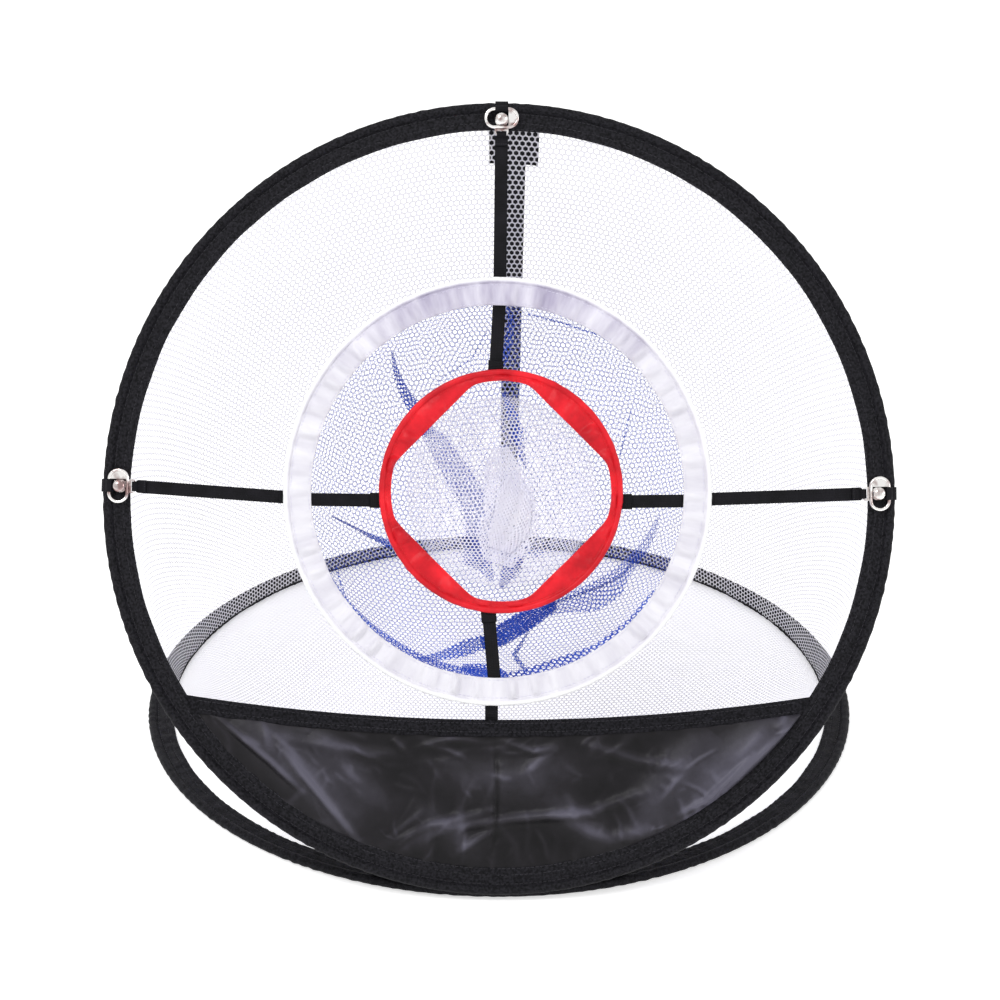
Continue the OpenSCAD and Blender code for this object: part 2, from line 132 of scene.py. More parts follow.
# %% Mesh helpers
def add_piece(name, points, faces, material, uv=None):
    """Makes a smooth mesh object at the origin from points (n, 3) and faces, with an optional uv per point."""
    mesh = bpy.data.meshes.new(name)
    mesh.from_pydata(np.asarray(points, float).tolist(), [], faces if isinstance(faces, list) else faces.tolist())
    if uv is not None:
        layer = mesh.uv_layers.new(name="UVMap")
        layer.data.foreach_set("uv", np.asarray(uv, np.float32)[loop_points(mesh)].ravel())
    mesh.polygons.foreach_set("use_smooth", np.full(len(mesh.polygons), True))
    mesh.materials.append(material)
    mesh.update()
    piece = bpy.data.objects.new(name, mesh)
    bpy.context.scene.collection.objects.link(piece)
    return piece


def loop_points(mesh):
    """The point that each face corner of a mesh uses, which is what carries a value per point to a uv map."""
    corners = np.empty(len(mesh.loops), np.int32)
    mesh.loops.foreach_get("vertex_index", corners)
    return corners


def grid_faces(rows, cols, wrap_rows=False, wrap_cols=False):
    """Quads between neighbouring points of a rows x cols grid, with either direction closed on itself."""
    r = np.arange(rows if wrap_rows else rows - 1)
    c = np.arange(cols if wrap_cols else cols - 1)
    r, c = np.meshgrid(r, c, indexing="ij")
    r2, c2 = (r + 1) % rows, (c + 1) % cols
    return np.stack([r * cols + c, r2 * cols + c, r2 * cols + c2, r * cols + c2], -1).reshape(-1, 4)


def grid_uv(rows, cols, u_length, v_length):
    """A uv in metres: u runs along the rows and v across them."""
    u, v = np.meshgrid(np.linspace(0, u_length, rows), np.linspace(0, v_length, cols), indexing="ij")
    return np.stack([u, v], -1).reshape(-1, 2)


def turn_out(piece):
    """Points a closed mesh's faces outwards."""
    bm = bmesh.new()
    bm.from_mesh(piece.data)
    bmesh.ops.recalc_face_normals(bm, faces=bm.faces)
    bm.to_mesh(piece.data)
    bm.free()
    return piece


def normals(grid):
    """Unit normals of a (rows, cols, 3) grid: the cross product of its two tangents."""
    n = np.cross(np.gradient(grid, axis=0), np.gradient(grid, axis=1))
    return n / np.maximum(np.linalg.norm(n, axis=-1, keepdims=True), 1e-12)


def thin_solid(name, grid, thickness, material, lengths):
    """A sheet with two faces and a rim: the grid is moved half its thickness each way along its normals. lengths
    are its sides in metres, for the uv."""
    rows, cols = grid.shape[:2]
    n = normals(grid) * thickness / 2
    points = np.concatenate([(grid + n).reshape(-1, 3), (grid - n).reshape(-1, 3)])
    top = grid_faces(rows, cols)
    count = rows * cols
    edge = np.concatenate([
        np.arange(cols), np.arange(1, rows) * cols + cols - 1,
        (rows - 1) * cols + np.arange(cols - 2, -1, -1), np.arange(rows - 2, 0, -1) * cols])
    nxt = np.roll(edge, -1)
    rim = np.stack([edge, nxt, nxt + count, edge + count], -1)
    uv = grid_uv(rows, cols, *lengths)
    piece = add_piece(name, points, np.concatenate([top, top[:, ::-1] + count, rim]), material,
                      np.concatenate([uv, uv]))
    return turn_out(piece)


print("a 3 x 4 grid has", len(grid_faces(3, 4)), "quads, and", len(grid_faces(3, 4, True, True)), "when closed")

# %% [markdown]
# A finished piece has to know two things: which body of the frame carries it, and which solid of the frame it
# stands for, if any. A strap that ends on two bodies is carried by neither: its place is baked into its mesh.

# %% Sewing a piece on
def dress(piece, body, finish, node=None):
    """The piece rides one body, and takes the place of one solid where a node is named."""
    if node:
        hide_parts(node)
    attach(piece, body)
    return piece


def dress_between(piece, start, end, node=None):
    """The piece's place is baked into its mesh and the solid is hidden; start and end are not used, and it follows
    neither body.
    """
    if node:
        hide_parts(node)
    tuple(start)
    tuple(end)
    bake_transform(piece)
    return piece


def plate(node, finish):
    """A metal fitting keeps the frame's own shape and takes a new finish."""
    nodes[node].data.materials.clear()
    nodes[node].data.materials.append(finish)


print("solids to dress", len(nodes))

# %% [markdown]
# ## Materials
# All cloth here is polyester, but each piece is woven its own way: satin for the ring sleeves, a coated plain weave
# for the panel, ribbed webbing for the straps, and yarn for the nets. Each material is a Principled shader whose
# colour, roughness and bump come from noise and waves on the object's own coordinates or its uv in metres.

# %% Shader helpers
WAVE_PER_M, MAGIC_PER_M = 0.31416, 1.2566  # the scales at which a wave and a magic texture repeat once in a metre
THREAD_APART = 0.0007
FLANGE_POINTS, BEAD_POINTS = 17, 21
BEAD_UV = (FLANGE_POINTS + BEAD_POINTS // 2) * MM  # a sleeve's uv counts 1 mm from point to point of its section


def srgb(r, g, b):
    """A colour given as it looks on a screen, 0 to 255, as the linear values that a shader wants."""
    c = np.array([r, g, b]) / 255
    return (*np.where(c <= 0.04045, c / 12.92, ((c + 0.055) / 1.055) ** 2.4), 1.0)


class Shader:
    """A material with its Principled shader and short ways to add and link nodes."""

    def __init__(self, name, roughness, **fixed):
        self.material = bpy.data.materials.new(name)
        self.material.use_nodes = True
        self.tree = self.material.node_tree
        self.principled = self.tree.nodes["Principled BSDF"]
        self.principled.inputs["Roughness"].default_value = roughness
        for socket, value in fixed.items():
            self.principled.inputs[socket.replace("_", " ")].default_value = value

    def node(self, kind, inputs=None, **settings):
        """Adds a node. settings are its own properties, and each input takes a value or another node's socket."""
        made = self.tree.nodes.new(kind)
        for key, value in settings.items():
            setattr(made, key, value)
        for socket, value in (inputs or {}).items():
            if isinstance(value, bpy.types.NodeSocket):
                self.tree.links.new(value, made.inputs[socket])
            else:
                made.inputs[socket].default_value = value
        return made

    def place(self, kind="Object", scale=(1, 1, 1)):
        """Object or UV coordinates through a Mapping node."""
        where = self.node("ShaderNodeTexCoord")
        return self.node("ShaderNodeMapping", {"Vector": where.outputs[kind], "Scale": scale}).outputs[0]

    def noise(self, vector, scale, detail=4.0):
        """Soft noise from 0 to 1, scale blobs to a metre."""
        return self.node("ShaderNodeTexNoise", {"Vector": vector, "Scale": scale, "Detail": detail,
                                                "Roughness": 0.55}).outputs["Fac"]

    def wave(self, vector, scale, direction, distortion=0.0):
        """Even bands across one direction."""
        return self.node("ShaderNodeTexWave", {"Vector": vector, "Scale": scale, "Distortion": distortion},
                         bands_direction=direction).outputs["Fac"]

    def ramp(self, factor, stops):
        """A colour picked by the factor from stops = [(position, colour)]."""
        made = self.node("ShaderNodeValToRGB", {"Fac": factor})
        for k, (position, colour) in enumerate(stops):
            element = made.color_ramp.elements[k] if k < 2 else made.color_ramp.elements.new(position)
            element.position, element.color = position, colour
        return made.outputs[0]

    def maths(self, operation, a, b):
        """One sum on two numbers or sockets."""
        return self.node("ShaderNodeMath", {0: a, 1: b}, operation=operation).outputs[0]

    def part(self, vector, axis):
        """One of a vector's three numbers."""
        return self.node("ShaderNodeSeparateXYZ", {"Vector": vector}).outputs[axis]

    def span(self, factor, low, high, start=0.0, end=1.0):
        """low while the factor is at start, high once it is at end, and an even slope between."""
        return self.node("ShaderNodeMapRange", {"Value": factor, "From Min": start, "From Max": end, "To Min": low,
                                                "To Max": high}).outputs[0]

    def mix(self, share, one, other):
        """The colour one where the share is 0 and the other where it is 1."""
        return self.node("ShaderNodeMix", {0: share, 6: one, 7: other}, data_type="RGBA").outputs[2]

    def link(self, socket, value):
        """Feeds one of the Principled shader's inputs."""
        self.tree.links.new(value, self.principled.inputs[socket])

    def bump(self, *layers):
        """Each layer is (height, distance in metres); one Bump node feeds the next."""
        last = None
        for height, distance in layers:
            made = self.node("ShaderNodeBump", {"Height": height, "Distance": distance})
            if last is not None:
                self.tree.links.new(last, made.inputs["Normal"])
            last = made.outputs["Normal"]
        self.link("Normal", last)

    def weave(self, where, deep):
        """Two crossed waves a thread apart, with the fine grain of the fibres over them."""
        threads = self.node("ShaderNodeTexMagic", {"Vector": where, "Scale": MAGIC_PER_M / THREAD_APART},
                            turbulence_depth=1)
        self.bump((threads.outputs["Fac"], deep), (self.noise(where, 260.0), 0.0002))


print("a white of 255 is", srgb(255, 255, 255)[0], "and a grey of 128 is", round(float(srgb(128, 128, 128)[0]), 3))

# %% [markdown]
# Satin could be one flat colour, but here a slow noise picks between two shades. On the black cloth it only makes the
# black uneven; on the white and red satin the darker shade is painted shade, standing in for the shade in their
# puckers and folds. The white ring's noise is drawn out across the sleeve, a painted highlight runs along its bead,
# and painted shade darkens its top.

# %% Sewn cloth
def cloth(name, dark, light, roughness, sheen, blotch, sharp, level, weave=0.00012, bead=None, top_shade=None):
    """Plain-woven cloth: slow noise of scale blotch picks a colour between dark and light, and sharp is half the
    width of the step between them. bead is a painted highlight, the colour put along a sleeve's round edge, which the
    uv's second number finds; it also draws the noise out across the sleeve. The last argument gives two heights for
    painted
    shade on the top of a ring: the noise shows in full at the upper one, and below the lower one the colour goes
    halfway to the bead's highlight."""
    s = Shader(name, roughness, Sheen_Weight=sheen, Sheen_Roughness=0.4, Specular_IOR_Level=level)
    where = s.place()
    slow = s.noise(s.place("UV", (1.0, 0.25, 1.0)) if bead else where, blotch)
    colour = s.ramp(slow, [(0.5 - sharp, dark), (0.5 + sharp, light)])
    if top_shade:
        colour = s.mix(s.span(s.part(where, "Z"), 0.5, 0.0, *top_shade), colour, bead)
    if bead:
        off = s.maths("ABSOLUTE", s.maths("SUBTRACT", s.part(s.place("UV"), "Y"), BEAD_UV), 0.0)
        colour = s.mix(s.span(off, 1.0, 0.0, 0.005, 0.0085), colour, bead)
    s.link("Base Color", colour)
    s.link("Roughness", s.span(slow, roughness - 0.06, roughness + 0.06))
    s.weave(where, weave)
    return s.material


RING_TOP = float(FRONT.place(0, 138 * MM, 0)[2])
SLEEVE = cloth("black_sleeve_satin", srgb(3, 3, 6), srgb(36, 35, 40), 0.6, 0.0, 650.0, 0.12, 0.12)
BINDING = cloth("black_binding_tape", srgb(5, 5, 8), srgb(34, 33, 38), 0.65, 0.0, 650.0, 0.12, 0.1)
# Painted light: the lavender dark colour is painted pucker shade, the bead colour a painted highlight, and the two
# heights paint shade on the top of the ring.
WHITE_SATIN = cloth("white_satin", srgb(172, 165, 190), srgb(230, 227, 239), 0.45, 0.05, 58.0, 0.17, 0.3, 0.00005,
                    bead=srgb(252, 252, 253), top_shade=(RING_TOP - 50 * MM, RING_TOP - 8 * MM))
# Painted shade: the darker red stands in for the shade in the red cloth's creases and folds.
RED_SATIN = cloth("red_satin", srgb(190, 14, 30), srgb(242, 32, 46), 0.42, 0.05, 46.0, 0.16, 0.25, 0.00005)
print("satin", [m.name for m in (SLEEVE, BINDING, WHITE_SATIN, RED_SATIN)])

# %% [markdown]
# Webbing is a ribbed tape, so a wave along its uv makes the ribs. The panel is coated cloth full of creases, and its
# colour is painted light and shade worked out from the real creases: lighter on their ridges and on slopes that face
# up and right, darker in the valleys and on slopes that face down and left. It is stored on the mesh as a second uv
# map.

# %% Webbing and coated cloth
def webbing(name, dark, light):
    """Ribbed tape: fine ribs run across it 1.1 mm apart, and a faint herringbone runs along it."""
    s = Shader(name, 0.62, Specular_IOR_Level=0.12)
    where = s.place("UV")
    ribs = s.wave(where, WAVE_PER_M / 0.0011, "X")
    edges = s.wave(where, WAVE_PER_M / 0.0017, "Y", 0.6)
    s.link("Base Color", s.ramp(s.noise(s.place(), 90.0), [(0.3, dark), (0.7, light)]))
    s.bump((ribs, 0.00022), (edges, 0.00008))
    return s.material


def creased(name, stops, roughness, level):
    """Coated cloth with painted light and shade: its second uv map holds a shade for each place, and the stops turn
    it into colour.
    """
    s = Shader(name, roughness, Specular_IOR_Level=level)
    # The painted shade of the creases, read from the second uv map.
    height = s.part(s.node("ShaderNodeUVMap", uv_map="Relief").outputs[0], "X")
    uneven = s.span(s.noise(s.place(), 70.0, 6.0), -0.2, 0.2)
    s.link("Base Color", s.ramp(s.maths("ADD", height, uneven), stops))
    s.weave(s.place(), 0.00004)
    return s.material


WEBBING = webbing("black_webbing", srgb(12, 12, 15), srgb(25, 24, 29))
HEM = webbing("white_hem_tape", srgb(240, 239, 245), srgb(250, 249, 252))
# Painted light: the stops run from the painted shade of the valleys to the painted highlight of the ridges.
PANEL = creased("black_coated_panel", [(0.0, srgb(14, 13, 15)), (0.32, srgb(32, 30, 34)), (0.6, srgb(54, 52, 59)),
                                       (1.0, srgb(92, 90, 103))], 0.4, 0.16)
print("webbing and panel", [m.name for m in (WEBBING, HEM, PANEL)])

# %% [markdown]
# Yarn is thin enough for light to come through it, and so fine that some of what lies behind shows between its
# fibres. The nets' holes are real, so the shader only has to add that last little clearness.

# %% Yarn and metal
def yarn(name, dark, light, roughness=0.55, through=0.0, clear=0.0):
    """Knitted polyester yarn: soft noise along the strands. through is the share of light that comes through it, and
    clear the share of what lies behind that shows between its fibres."""
    s = Shader(name, roughness, Specular_IOR_Level=0.3)
    colour = s.ramp(s.noise(s.place(), 45.0), [(0.25, dark), (0.75, light)])
    s.link("Base Color", colour)
    s.bump((s.noise(s.place(), 1800.0, 2.0), 0.00012))
    if clear:
        s.principled.inputs["Alpha"].default_value = 1 - clear
    if through:
        lit = s.node("ShaderNodeBsdfTranslucent", {"Color": colour})
        mix = s.node("ShaderNodeMixShader", {0: through, 1: s.principled.outputs[0], 2: lit.outputs[0]})
        s.tree.links.new(mix.outputs[0], s.tree.nodes["Material Output"].inputs[0])
    return s.material


def plated(name, colour, roughness, painted_reflection=None):
    """Bright plate: faint smears in its roughness, small casting waves, and, where a second colour is given, a
    painted reflection of that colour mixed in by noise.
    """
    s = Shader(name, roughness, Metallic=1.0, Base_Color=colour)
    where = s.place()
    if painted_reflection:
        s.link("Base Color", s.ramp(s.noise(where, 110.0, 2.0), [(0.34, painted_reflection), (0.5, colour)]))
    s.link("Roughness", s.span(s.noise(where, 350.0), roughness - 0.06, roughness + 0.1))
    s.bump((s.noise(where, 300.0, 2.0), 0.0003))
    return s.material


NET_WHITE = yarn("white_net_yarn", srgb(241, 239, 249), srgb(249, 248, 253), through=0.15, clear=0.18)
NET_FLOOR = yarn("white_floor_net_yarn", srgb(239, 237, 247), srgb(247, 246, 251), through=0.1)
NET_BLUE = yarn("blue_net_yarn", srgb(58, 78, 192), srgb(98, 116, 208), clear=0.4)
NET_BLUE_DEEP = yarn("blue_net_folds_yarn", srgb(12, 60, 190), srgb(50, 98, 216), through=0.1)
NET_BAG = yarn("white_bag_yarn", srgb(236, 235, 248), srgb(246, 245, 253), through=0.12)
# Painted reflection: the reddish-brown third colour stands in for reflections in the bright plate.
NICKEL = plated("nickel_plate", srgb(238, 236, 234), 0.15, srgb(150, 126, 124))
STEEL = plated("spring_steel", srgb(150, 152, 158), 0.35)
FERRULE = plated("crimped_aluminium", srgb(200, 201, 204), 0.4)
THREAD = yarn("black_thread", srgb(28, 28, 32), srgb(52, 51, 58), 0.5)
THREAD_WHITE = yarn("white_thread", srgb(214, 211, 230), srgb(236, 234, 246), 0.5)
THREAD_RED = yarn("red_thread", srgb(196, 26, 36), srgb(232, 46, 54), 0.5)
print("materials", len(bpy.data.materials))

# %% [markdown]
# ## The sewn sleeves
# A sleeve is a strip of cloth folded round the wire and sewn twice: once close to the wire, which makes the round
# bead, and once at the inner edge. The thread pulls the cloth in, so it puckers beside each seam. It could be a
# plain ring with a bump map, but its edge is seen from the side. So a section is carried round the ring, and each
# point of it is pushed out or in by a band of soft, uneven waves.

# %% Puckers and bumps
def puckers(angle, waves, spread, seed):
    """Uneven waves round a ring: twelve cosines whose counts lie within spread of waves, with random phases."""
    rng = np.random.default_rng(seed)
    counts = np.round(waves + rng.uniform(-spread, spread, 12))
    phases = rng.uniform(0, 2 * np.pi, 12)
    return np.cos(angle[:, None] * counts + phases).sum(1) / np.sqrt(6)


def bell(x, middle_at, width):
    """A smooth bump, 1 at its middle: exp(-((x - middle) / width)^2)."""
    return np.exp(-(((x - middle_at) / width) ** 2))


print("puckers range over", puckers(np.linspace(0, 2 * np.pi, 900), 96, 40, 21).round(1)[[0, 300, 600]])


# %% One section carried round a ring
def section(inner, r_wire, bead, thick):
    """A sleeve's plain section at every angle round the ring, as arrays r and w. side is 1 on the front of the
    flange, -1 on its back and 0 on the bead. place is 0 at the inner edge, 1 where the bead starts and 2 on it. The
    flange is flat, and the bead is an arc of radius bead round the wire."""
    meet = np.arcsin(min(thick / 2 / bead, 0.99))
    r_meet = r_wire - bead * np.cos(meet)
    s = np.linspace(0, 1, FLANGE_POINTS)
    arc = np.linspace(np.pi - meet, -np.pi + meet, BEAD_POINTS + 2)[1:-1]
    r = np.concatenate([
        inner[:, None] + (r_meet - inner[:, None]) * s,
        np.broadcast_to(r_wire + bead * np.cos(arc), (len(inner), BEAD_POINTS)),
        inner[:, None] + (r_meet - inner[:, None]) * s[::-1]], 1)
    half, one, none = np.full(FLANGE_POINTS, thick / 2), np.ones(FLANGE_POINTS), np.zeros(BEAD_POINTS)
    w = np.broadcast_to(np.concatenate([half, bead * np.sin(arc), -half]), r.shape).copy()
    return r, w, np.concatenate([one, none, -one]), np.concatenate([s, none + 2, s[::-1]])


def sleeve(name, plane, r_wire, bead, edge, thick, material, steps, folds, seams, seed, puff, floor=None, join=None):
    """A section carried round a ring, in steps. edge(angle) is the radius of its inner edge. The flange is lifted by
    folds = (waves, spread, height) along the whole ring, by seams = [(place, groove, waves, height)] at the thread
    lines, and by puff between its two layers. The bead is scrunched by waves of its own. join is the angle where
    the strip's ends meet, and nothing goes below floor."""
    angle = np.linspace(0, 2 * np.pi, steps, endpoint=False)
    r, w, side, place = section(edge(angle), r_wire, bead, thick)
    on_flange, hump = place <= 1, np.sin(np.pi * np.clip(place, 0, 1))
    waves, spread, height = folds
    rise = height * puckers(angle, waves, spread, seed)[:, None] * hump ** 0.6
    for k, (where, groove, count, lift) in enumerate(seams):
        rise = rise + lift * puckers(angle, count, count * 0.3, seed + 11 + k)[:, None] * bell(place, where, 0.14)
        rise = rise - groove * bell(place, where, 0.05) * side
    rise = rise + puff * side * hump * on_flange
    w = w + np.where(on_flange, np.maximum(rise, -0.2 * MM), 0.0)
    if join is not None:
        gap = np.abs((angle - join + np.pi) % (2 * np.pi) - np.pi)[:, None] * r_wire
        ridge = 0.5 * MM * bell(gap, 1.6 * MM, 1.1 * MM) - 0.4 * MM * bell(gap, 0.0, 0.7 * MM)
        w = w + on_flange * side * ridge
    scrunch = 1 + np.where(on_flange, 0.0, 0.035) * puckers(angle, waves * 1.9, spread * 2, seed + 5)[:, None]
    r = r_wire + (r - r_wire) * np.where(on_flange, 1.0, scrunch)
    w = w * np.where(on_flange, 1.0, scrunch)
    r = r + 0.12 * MM * puckers(angle, waves * 0.3, spread * 0.3, seed + 7)[:, None] * bell(place, 0.0, 0.2)
    if floor is not None:
        w = np.maximum(w, floor)
    points = plane.ring(angle[:, None], r, w)
    uv = np.stack(np.broadcast_arrays((angle * r_wire)[:, None], np.arange(r.shape[1]) * MM), -1)
    faces = grid_faces(*r.shape, wrap_rows=True, wrap_cols=True)
    piece = turn_out(add_piece(name, points.reshape(-1, 3), faces, material, uv.reshape(-1, 2)))
    print(name, len(piece.data.polygons), "faces")
    return piece


# %% [markdown]
# Thread shows as a row of short stitches. Each stitch is a bead of only 22 faces, six-sided and pinched at its ends,
# and all the stitches of a seam are one mesh.

# %% Thread round a ring
BEAD_ALONG, BEAD_FAT = np.array([-0.5, -0.36, 0.36, 0.5])[:, None], np.array([0.25, 1.0, 1.0, 0.25])[:, None]
BEAD_TURN = np.linspace(0, 2 * np.pi, 6, endpoint=False)
BEAD_CAPS = [[0, 1, 2, 3], [0, 3, 4, 5], [18, 21, 20, 19], [18, 23, 22, 21]]


def bead_faces(count):
    """Faces of count six-sided beads, each of four rings of points and closed by two quads at either end."""
    one = np.concatenate([grid_faces(4, 6, wrap_cols=True), BEAD_CAPS])
    return (one[None] + 24 * np.arange(count)[:, None, None]).reshape(-1, 4)


def ring_of_stitches(name, plane, r, w, pitch, length, radius, material, seed):
    """Beads of thread, a pitch apart and at height w, on a circle whose radius r may be a function of the angle. Each
    is a little out of its place and turned a little."""
    angle = np.arange(0, 2 * np.pi, pitch / (r if np.isscalar(r) else np.mean(r(np.zeros(1)))))
    rng = np.random.default_rng(seed)
    angle = angle + rng.normal(0, 0.02, len(angle)) * pitch / 0.2
    tilt = rng.normal(0, 0.05, len(angle))[:, None, None]
    along, fat = BEAD_ALONG * length, BEAD_FAT * radius
    across, up = fat * np.cos(BEAD_TURN), fat * np.sin(BEAD_TURN)
    along, across = along * np.cos(tilt) - across * np.sin(tilt), along * np.sin(tilt) + across * np.cos(tilt)
    radius_at = (r(angle) if callable(r) else np.full(len(angle), r))[:, None, None]
    points = plane.ring(angle[:, None, None] + along / radius_at, radius_at + across, w + up)
    return turn_out(add_piece(name, points.reshape(-1, 3), bead_faces(len(angle)), material))


print("one stitch has", len(bead_faces(1)), "faces")

# %% The two black hoops
BEAD, SLEEVE_W, SLEEVE_T = 3.2 * MM, 18 * MM, 1.2 * MM
EDGE_R = HOOP_R + BEAD - SLEEVE_W
GROUND = -base_c[2] + 0.0001
SEAM_AT = {"outer": 0.93, "middle": 0.42, "inner": 0.06}
black_seams = [(SEAM_AT["outer"], 0.25 * MM, 170, 0.16 * MM), (SEAM_AT["middle"], 0.35 * MM, 150, 0.14 * MM),
               (SEAM_AT["inner"], 0.2 * MM, 190, 0.2 * MM)]
black_cut = (HOOP_R, BEAD, lambda a: np.full(len(a), EDGE_R), SLEEVE_T, SLEEVE, 1200)
front_sleeve = sleeve("front_hoop_cover", FRONT, *black_cut, (96, 40, 0.22 * MM), black_seams, 21, 0.35 * MM,
                      join=np.radians(269))
base_sleeve = sleeve("base_hoop_cover", BASE, *black_cut, (90, 40, 0.2 * MM), black_seams, 34, 0.3 * MM, floor=GROUND)
dress(front_sleeve, "front_frame", "black_sleeve", "front_hoop_sleeve")
dress(base_sleeve, "base", "black_sleeve", "base_hoop_sleeve")

# %% Their seams
stitches = 0
for plane, body, word in ((FRONT, "front_frame", "front"), (BASE, "base", "base")):
    for tag, s in SEAM_AT.items():
        for face, side_word in ((1, "front"), (-1, "back")):
            thread = ring_of_stitches(f"{word}_{tag}_stitches_{side_word}", plane,
                                      EDGE_R + (HOOP_R - BEAD - EDGE_R) * s, face * (SLEEVE_T / 2 + 0.02 * MM),
                                      3.1 * MM, 2.3 * MM, 0.22 * MM, THREAD, seed=int(s * 100))
            dress(thread, body, "black_sleeve")
            stitches += len(thread.data.polygons) // 22
print("stitches in the black sleeves", stitches)

# %% [markdown]
# ## The two rings of the target
# They are sewn like the hoops, in satin. The white cloth is a straight strip bent round a small circle, so its
# inner edge is too long and falls into folds every centimetre or so. The red one is cut to a soft diamond inside.

# %% White and red rings
RING_BEAD, RING_T = 2.0 * MM, 1.0 * MM
WHITE_EDGE = WHITE_R + RING_BEAD - 18.4 * MM
RED_EDGE, RED_WIDE = 8.0 * MM, 17.5 * MM  # the red cloth where it is narrowest and where it is widest


def red_edge(angle):
    """Radius of the red opening: a square turned by an eighth, and a circle that rounds its corners off. The lesser
    of the two is taken softly, as -log(exp(-k * square) + exp(-k * circle)) / k."""
    turned = np.mod(angle, np.pi / 2) - np.pi / 4
    square = (RED_R + RING_BEAD - RED_WIDE) / np.cos(turned)
    circle = np.full_like(square, RED_R + RING_BEAD - RED_EDGE)
    k = 900.0
    return -np.log(np.exp(-k * square) + np.exp(-k * circle)) / k


white_sleeve = sleeve("white_ring_cover", WHITE, WHITE_R, RING_BEAD, lambda a: np.full(len(a), WHITE_EDGE), RING_T,
                      WHITE_SATIN, 900, (52, 18, 1.7 * MM),
                      [(0.93, 0.3 * MM, 90, 0.12 * MM), (0.1, 0.25 * MM, 110, 0.25 * MM)], 55, 0.2 * MM)
red_sleeve = sleeve("red_ring_cover", RED, RED_R, RING_BEAD, red_edge, RING_T, RED_SATIN, 720, (20, 12, 1.5 * MM),
                    [(0.9, 0.25 * MM, 60, 0.12 * MM), (0.12, 0.2 * MM, 80, 0.18 * MM)], 66, 0.25 * MM,
                    join=np.radians(265))
dress(white_sleeve, "target", "white_satin", "white_ring_sleeve")
dress(red_sleeve, "bullseye", "red_satin", "red_ring_sleeve")

# %% Their seams
for name, plane, r, body, finish, thread in (
        ("white_outer_stitches", WHITE, WHITE_R - 3.2 * MM, "target", "white_satin", THREAD_WHITE),
        ("white_inner_stitches", WHITE, WHITE_EDGE + 1.6 * MM, "target", "white_satin", THREAD_WHITE),
        ("red_outer_stitches", RED, RED_R - 3.0 * MM, "bullseye", "red_satin", THREAD_RED),
        ("red_inner_stitches", RED, lambda a: red_edge(a) + 1.6 * MM, "bullseye", "red_satin", THREAD_RED)):
    seam = ring_of_stitches(name, plane, r, RING_T / 2 + 0.05 * MM, 2.7 * MM, 1.9 * MM, 0.17 * MM, thread, seed=3)
    dress(seam, body, finish)
    print(name, len(seam.data.polygons) // 22, "stitches")

# %% [markdown]
# ## The knitted nets
# The netting is a warp knit with round holes in staggered rows. It could be a plain sheet with holes painted on, but
# the holes show the cloth behind them and break up the edges, so they are real. Each hole is a hexagon, and the
# cloth is what is left between them: a quad towards each of three neighbours and two small triangles where three
# holes meet. They are laid out on the flat cloth and then carried onto the surface, so they stay round and even.
# The surface itself is ruled: straight lines stretched from one hoop to the other, which is how a taut net hangs.

# %% A sheet ruled from one hoop to the other
NET_PITCH, HOLE, NET_TALL, FLOOR_TALL = 3.6 * MM, 1.52 * MM, 1.7, 1.2
NET_R, NET_W, FLOOR_R = EDGE_R + 2 * MM, 1.15 * MM, EDGE_R - 0.55 * MM
FRONT_TURN, BASE_TURN = np.radians(121), np.radians(90)


class Ruled:
    """A sheet of straight lines from a curve a(f) on the front hoop to b(f) on the base hoop, f from -1 to 1.
    flat_x is the width of the cloth up to f, counted across the lines, and flat_y how far each line's start is
    shifted along them, so that flat_x and flat_y + distance are places on the flat cloth."""

    def __init__(self, a, b, f_max, drape):
        self.a, self.b, self.drape = a, b, drape
        self.f = np.linspace(-f_max, f_max, 801)
        start, end = a(self.f), b(self.f)
        self.length = np.linalg.norm(end - start, axis=1)
        line = (end - start) / self.length[:, None]
        mid = np.gradient((start + end) / 2, axis=0)
        slide = (np.gradient(start, axis=0) * line).sum(1)
        across = np.linalg.norm(mid - (mid * line).sum(1)[:, None] * line, axis=1)
        self.flat_x = np.concatenate([[0], np.cumsum((across[1:] + across[:-1]) / 2)])
        self.flat_y = np.concatenate([[0], np.cumsum((slide[1:] + slide[:-1]) / 2)])
        self.flat_y -= self.flat_y.min()

    def place(self, f, v):
        """The point a distance v along line f, moved off the straight line by the sheet's drape."""
        start, end = self.a(f), self.b(f)
        length = np.linalg.norm(end - start, axis=-1, keepdims=True)
        line = (end - start) / length
        df = 0.002
        side = self.b(f + df) + self.a(f + df) - self.b(f - df) - self.a(f - df)
        n = np.cross(line, side)
        n = n / np.linalg.norm(n, axis=-1, keepdims=True)
        share = np.clip(v / length[..., 0], 0, 1)
        return start + line * v[..., None] + n * self.drape(f, share)[..., None]

    def locate(self, x, y):
        """The surface point for a place on the flat cloth, and whether it lies within the sheet's four edges."""
        f = np.interp(x, self.flat_x, self.f)
        v = y - np.interp(x, self.flat_x, self.flat_y)
        length = np.interp(f, self.f, self.length)
        inside = (v >= 0) & (v <= length) & (x >= 0) & (x <= self.flat_x[-1])
        return self.place(f, np.clip(v, 0, length)), inside

    def size(self):
        """Width and height of the flat cloth that the sheet is cut from."""
        return self.flat_x[-1], (self.length + self.flat_y).max()


def front_arc(turn):
    """The net's edge on the front hoop: turn(f) is its angle from the hoop's top."""
    return lambda f: FRONT.ring(np.pi / 2 - turn(f), NET_R, -NET_W)


def base_arc(turn, w, r):
    """The net's edge on the base hoop, at radius r and height w."""
    return lambda f: BASE.ring(np.pi / 2 - turn(f), r, w)


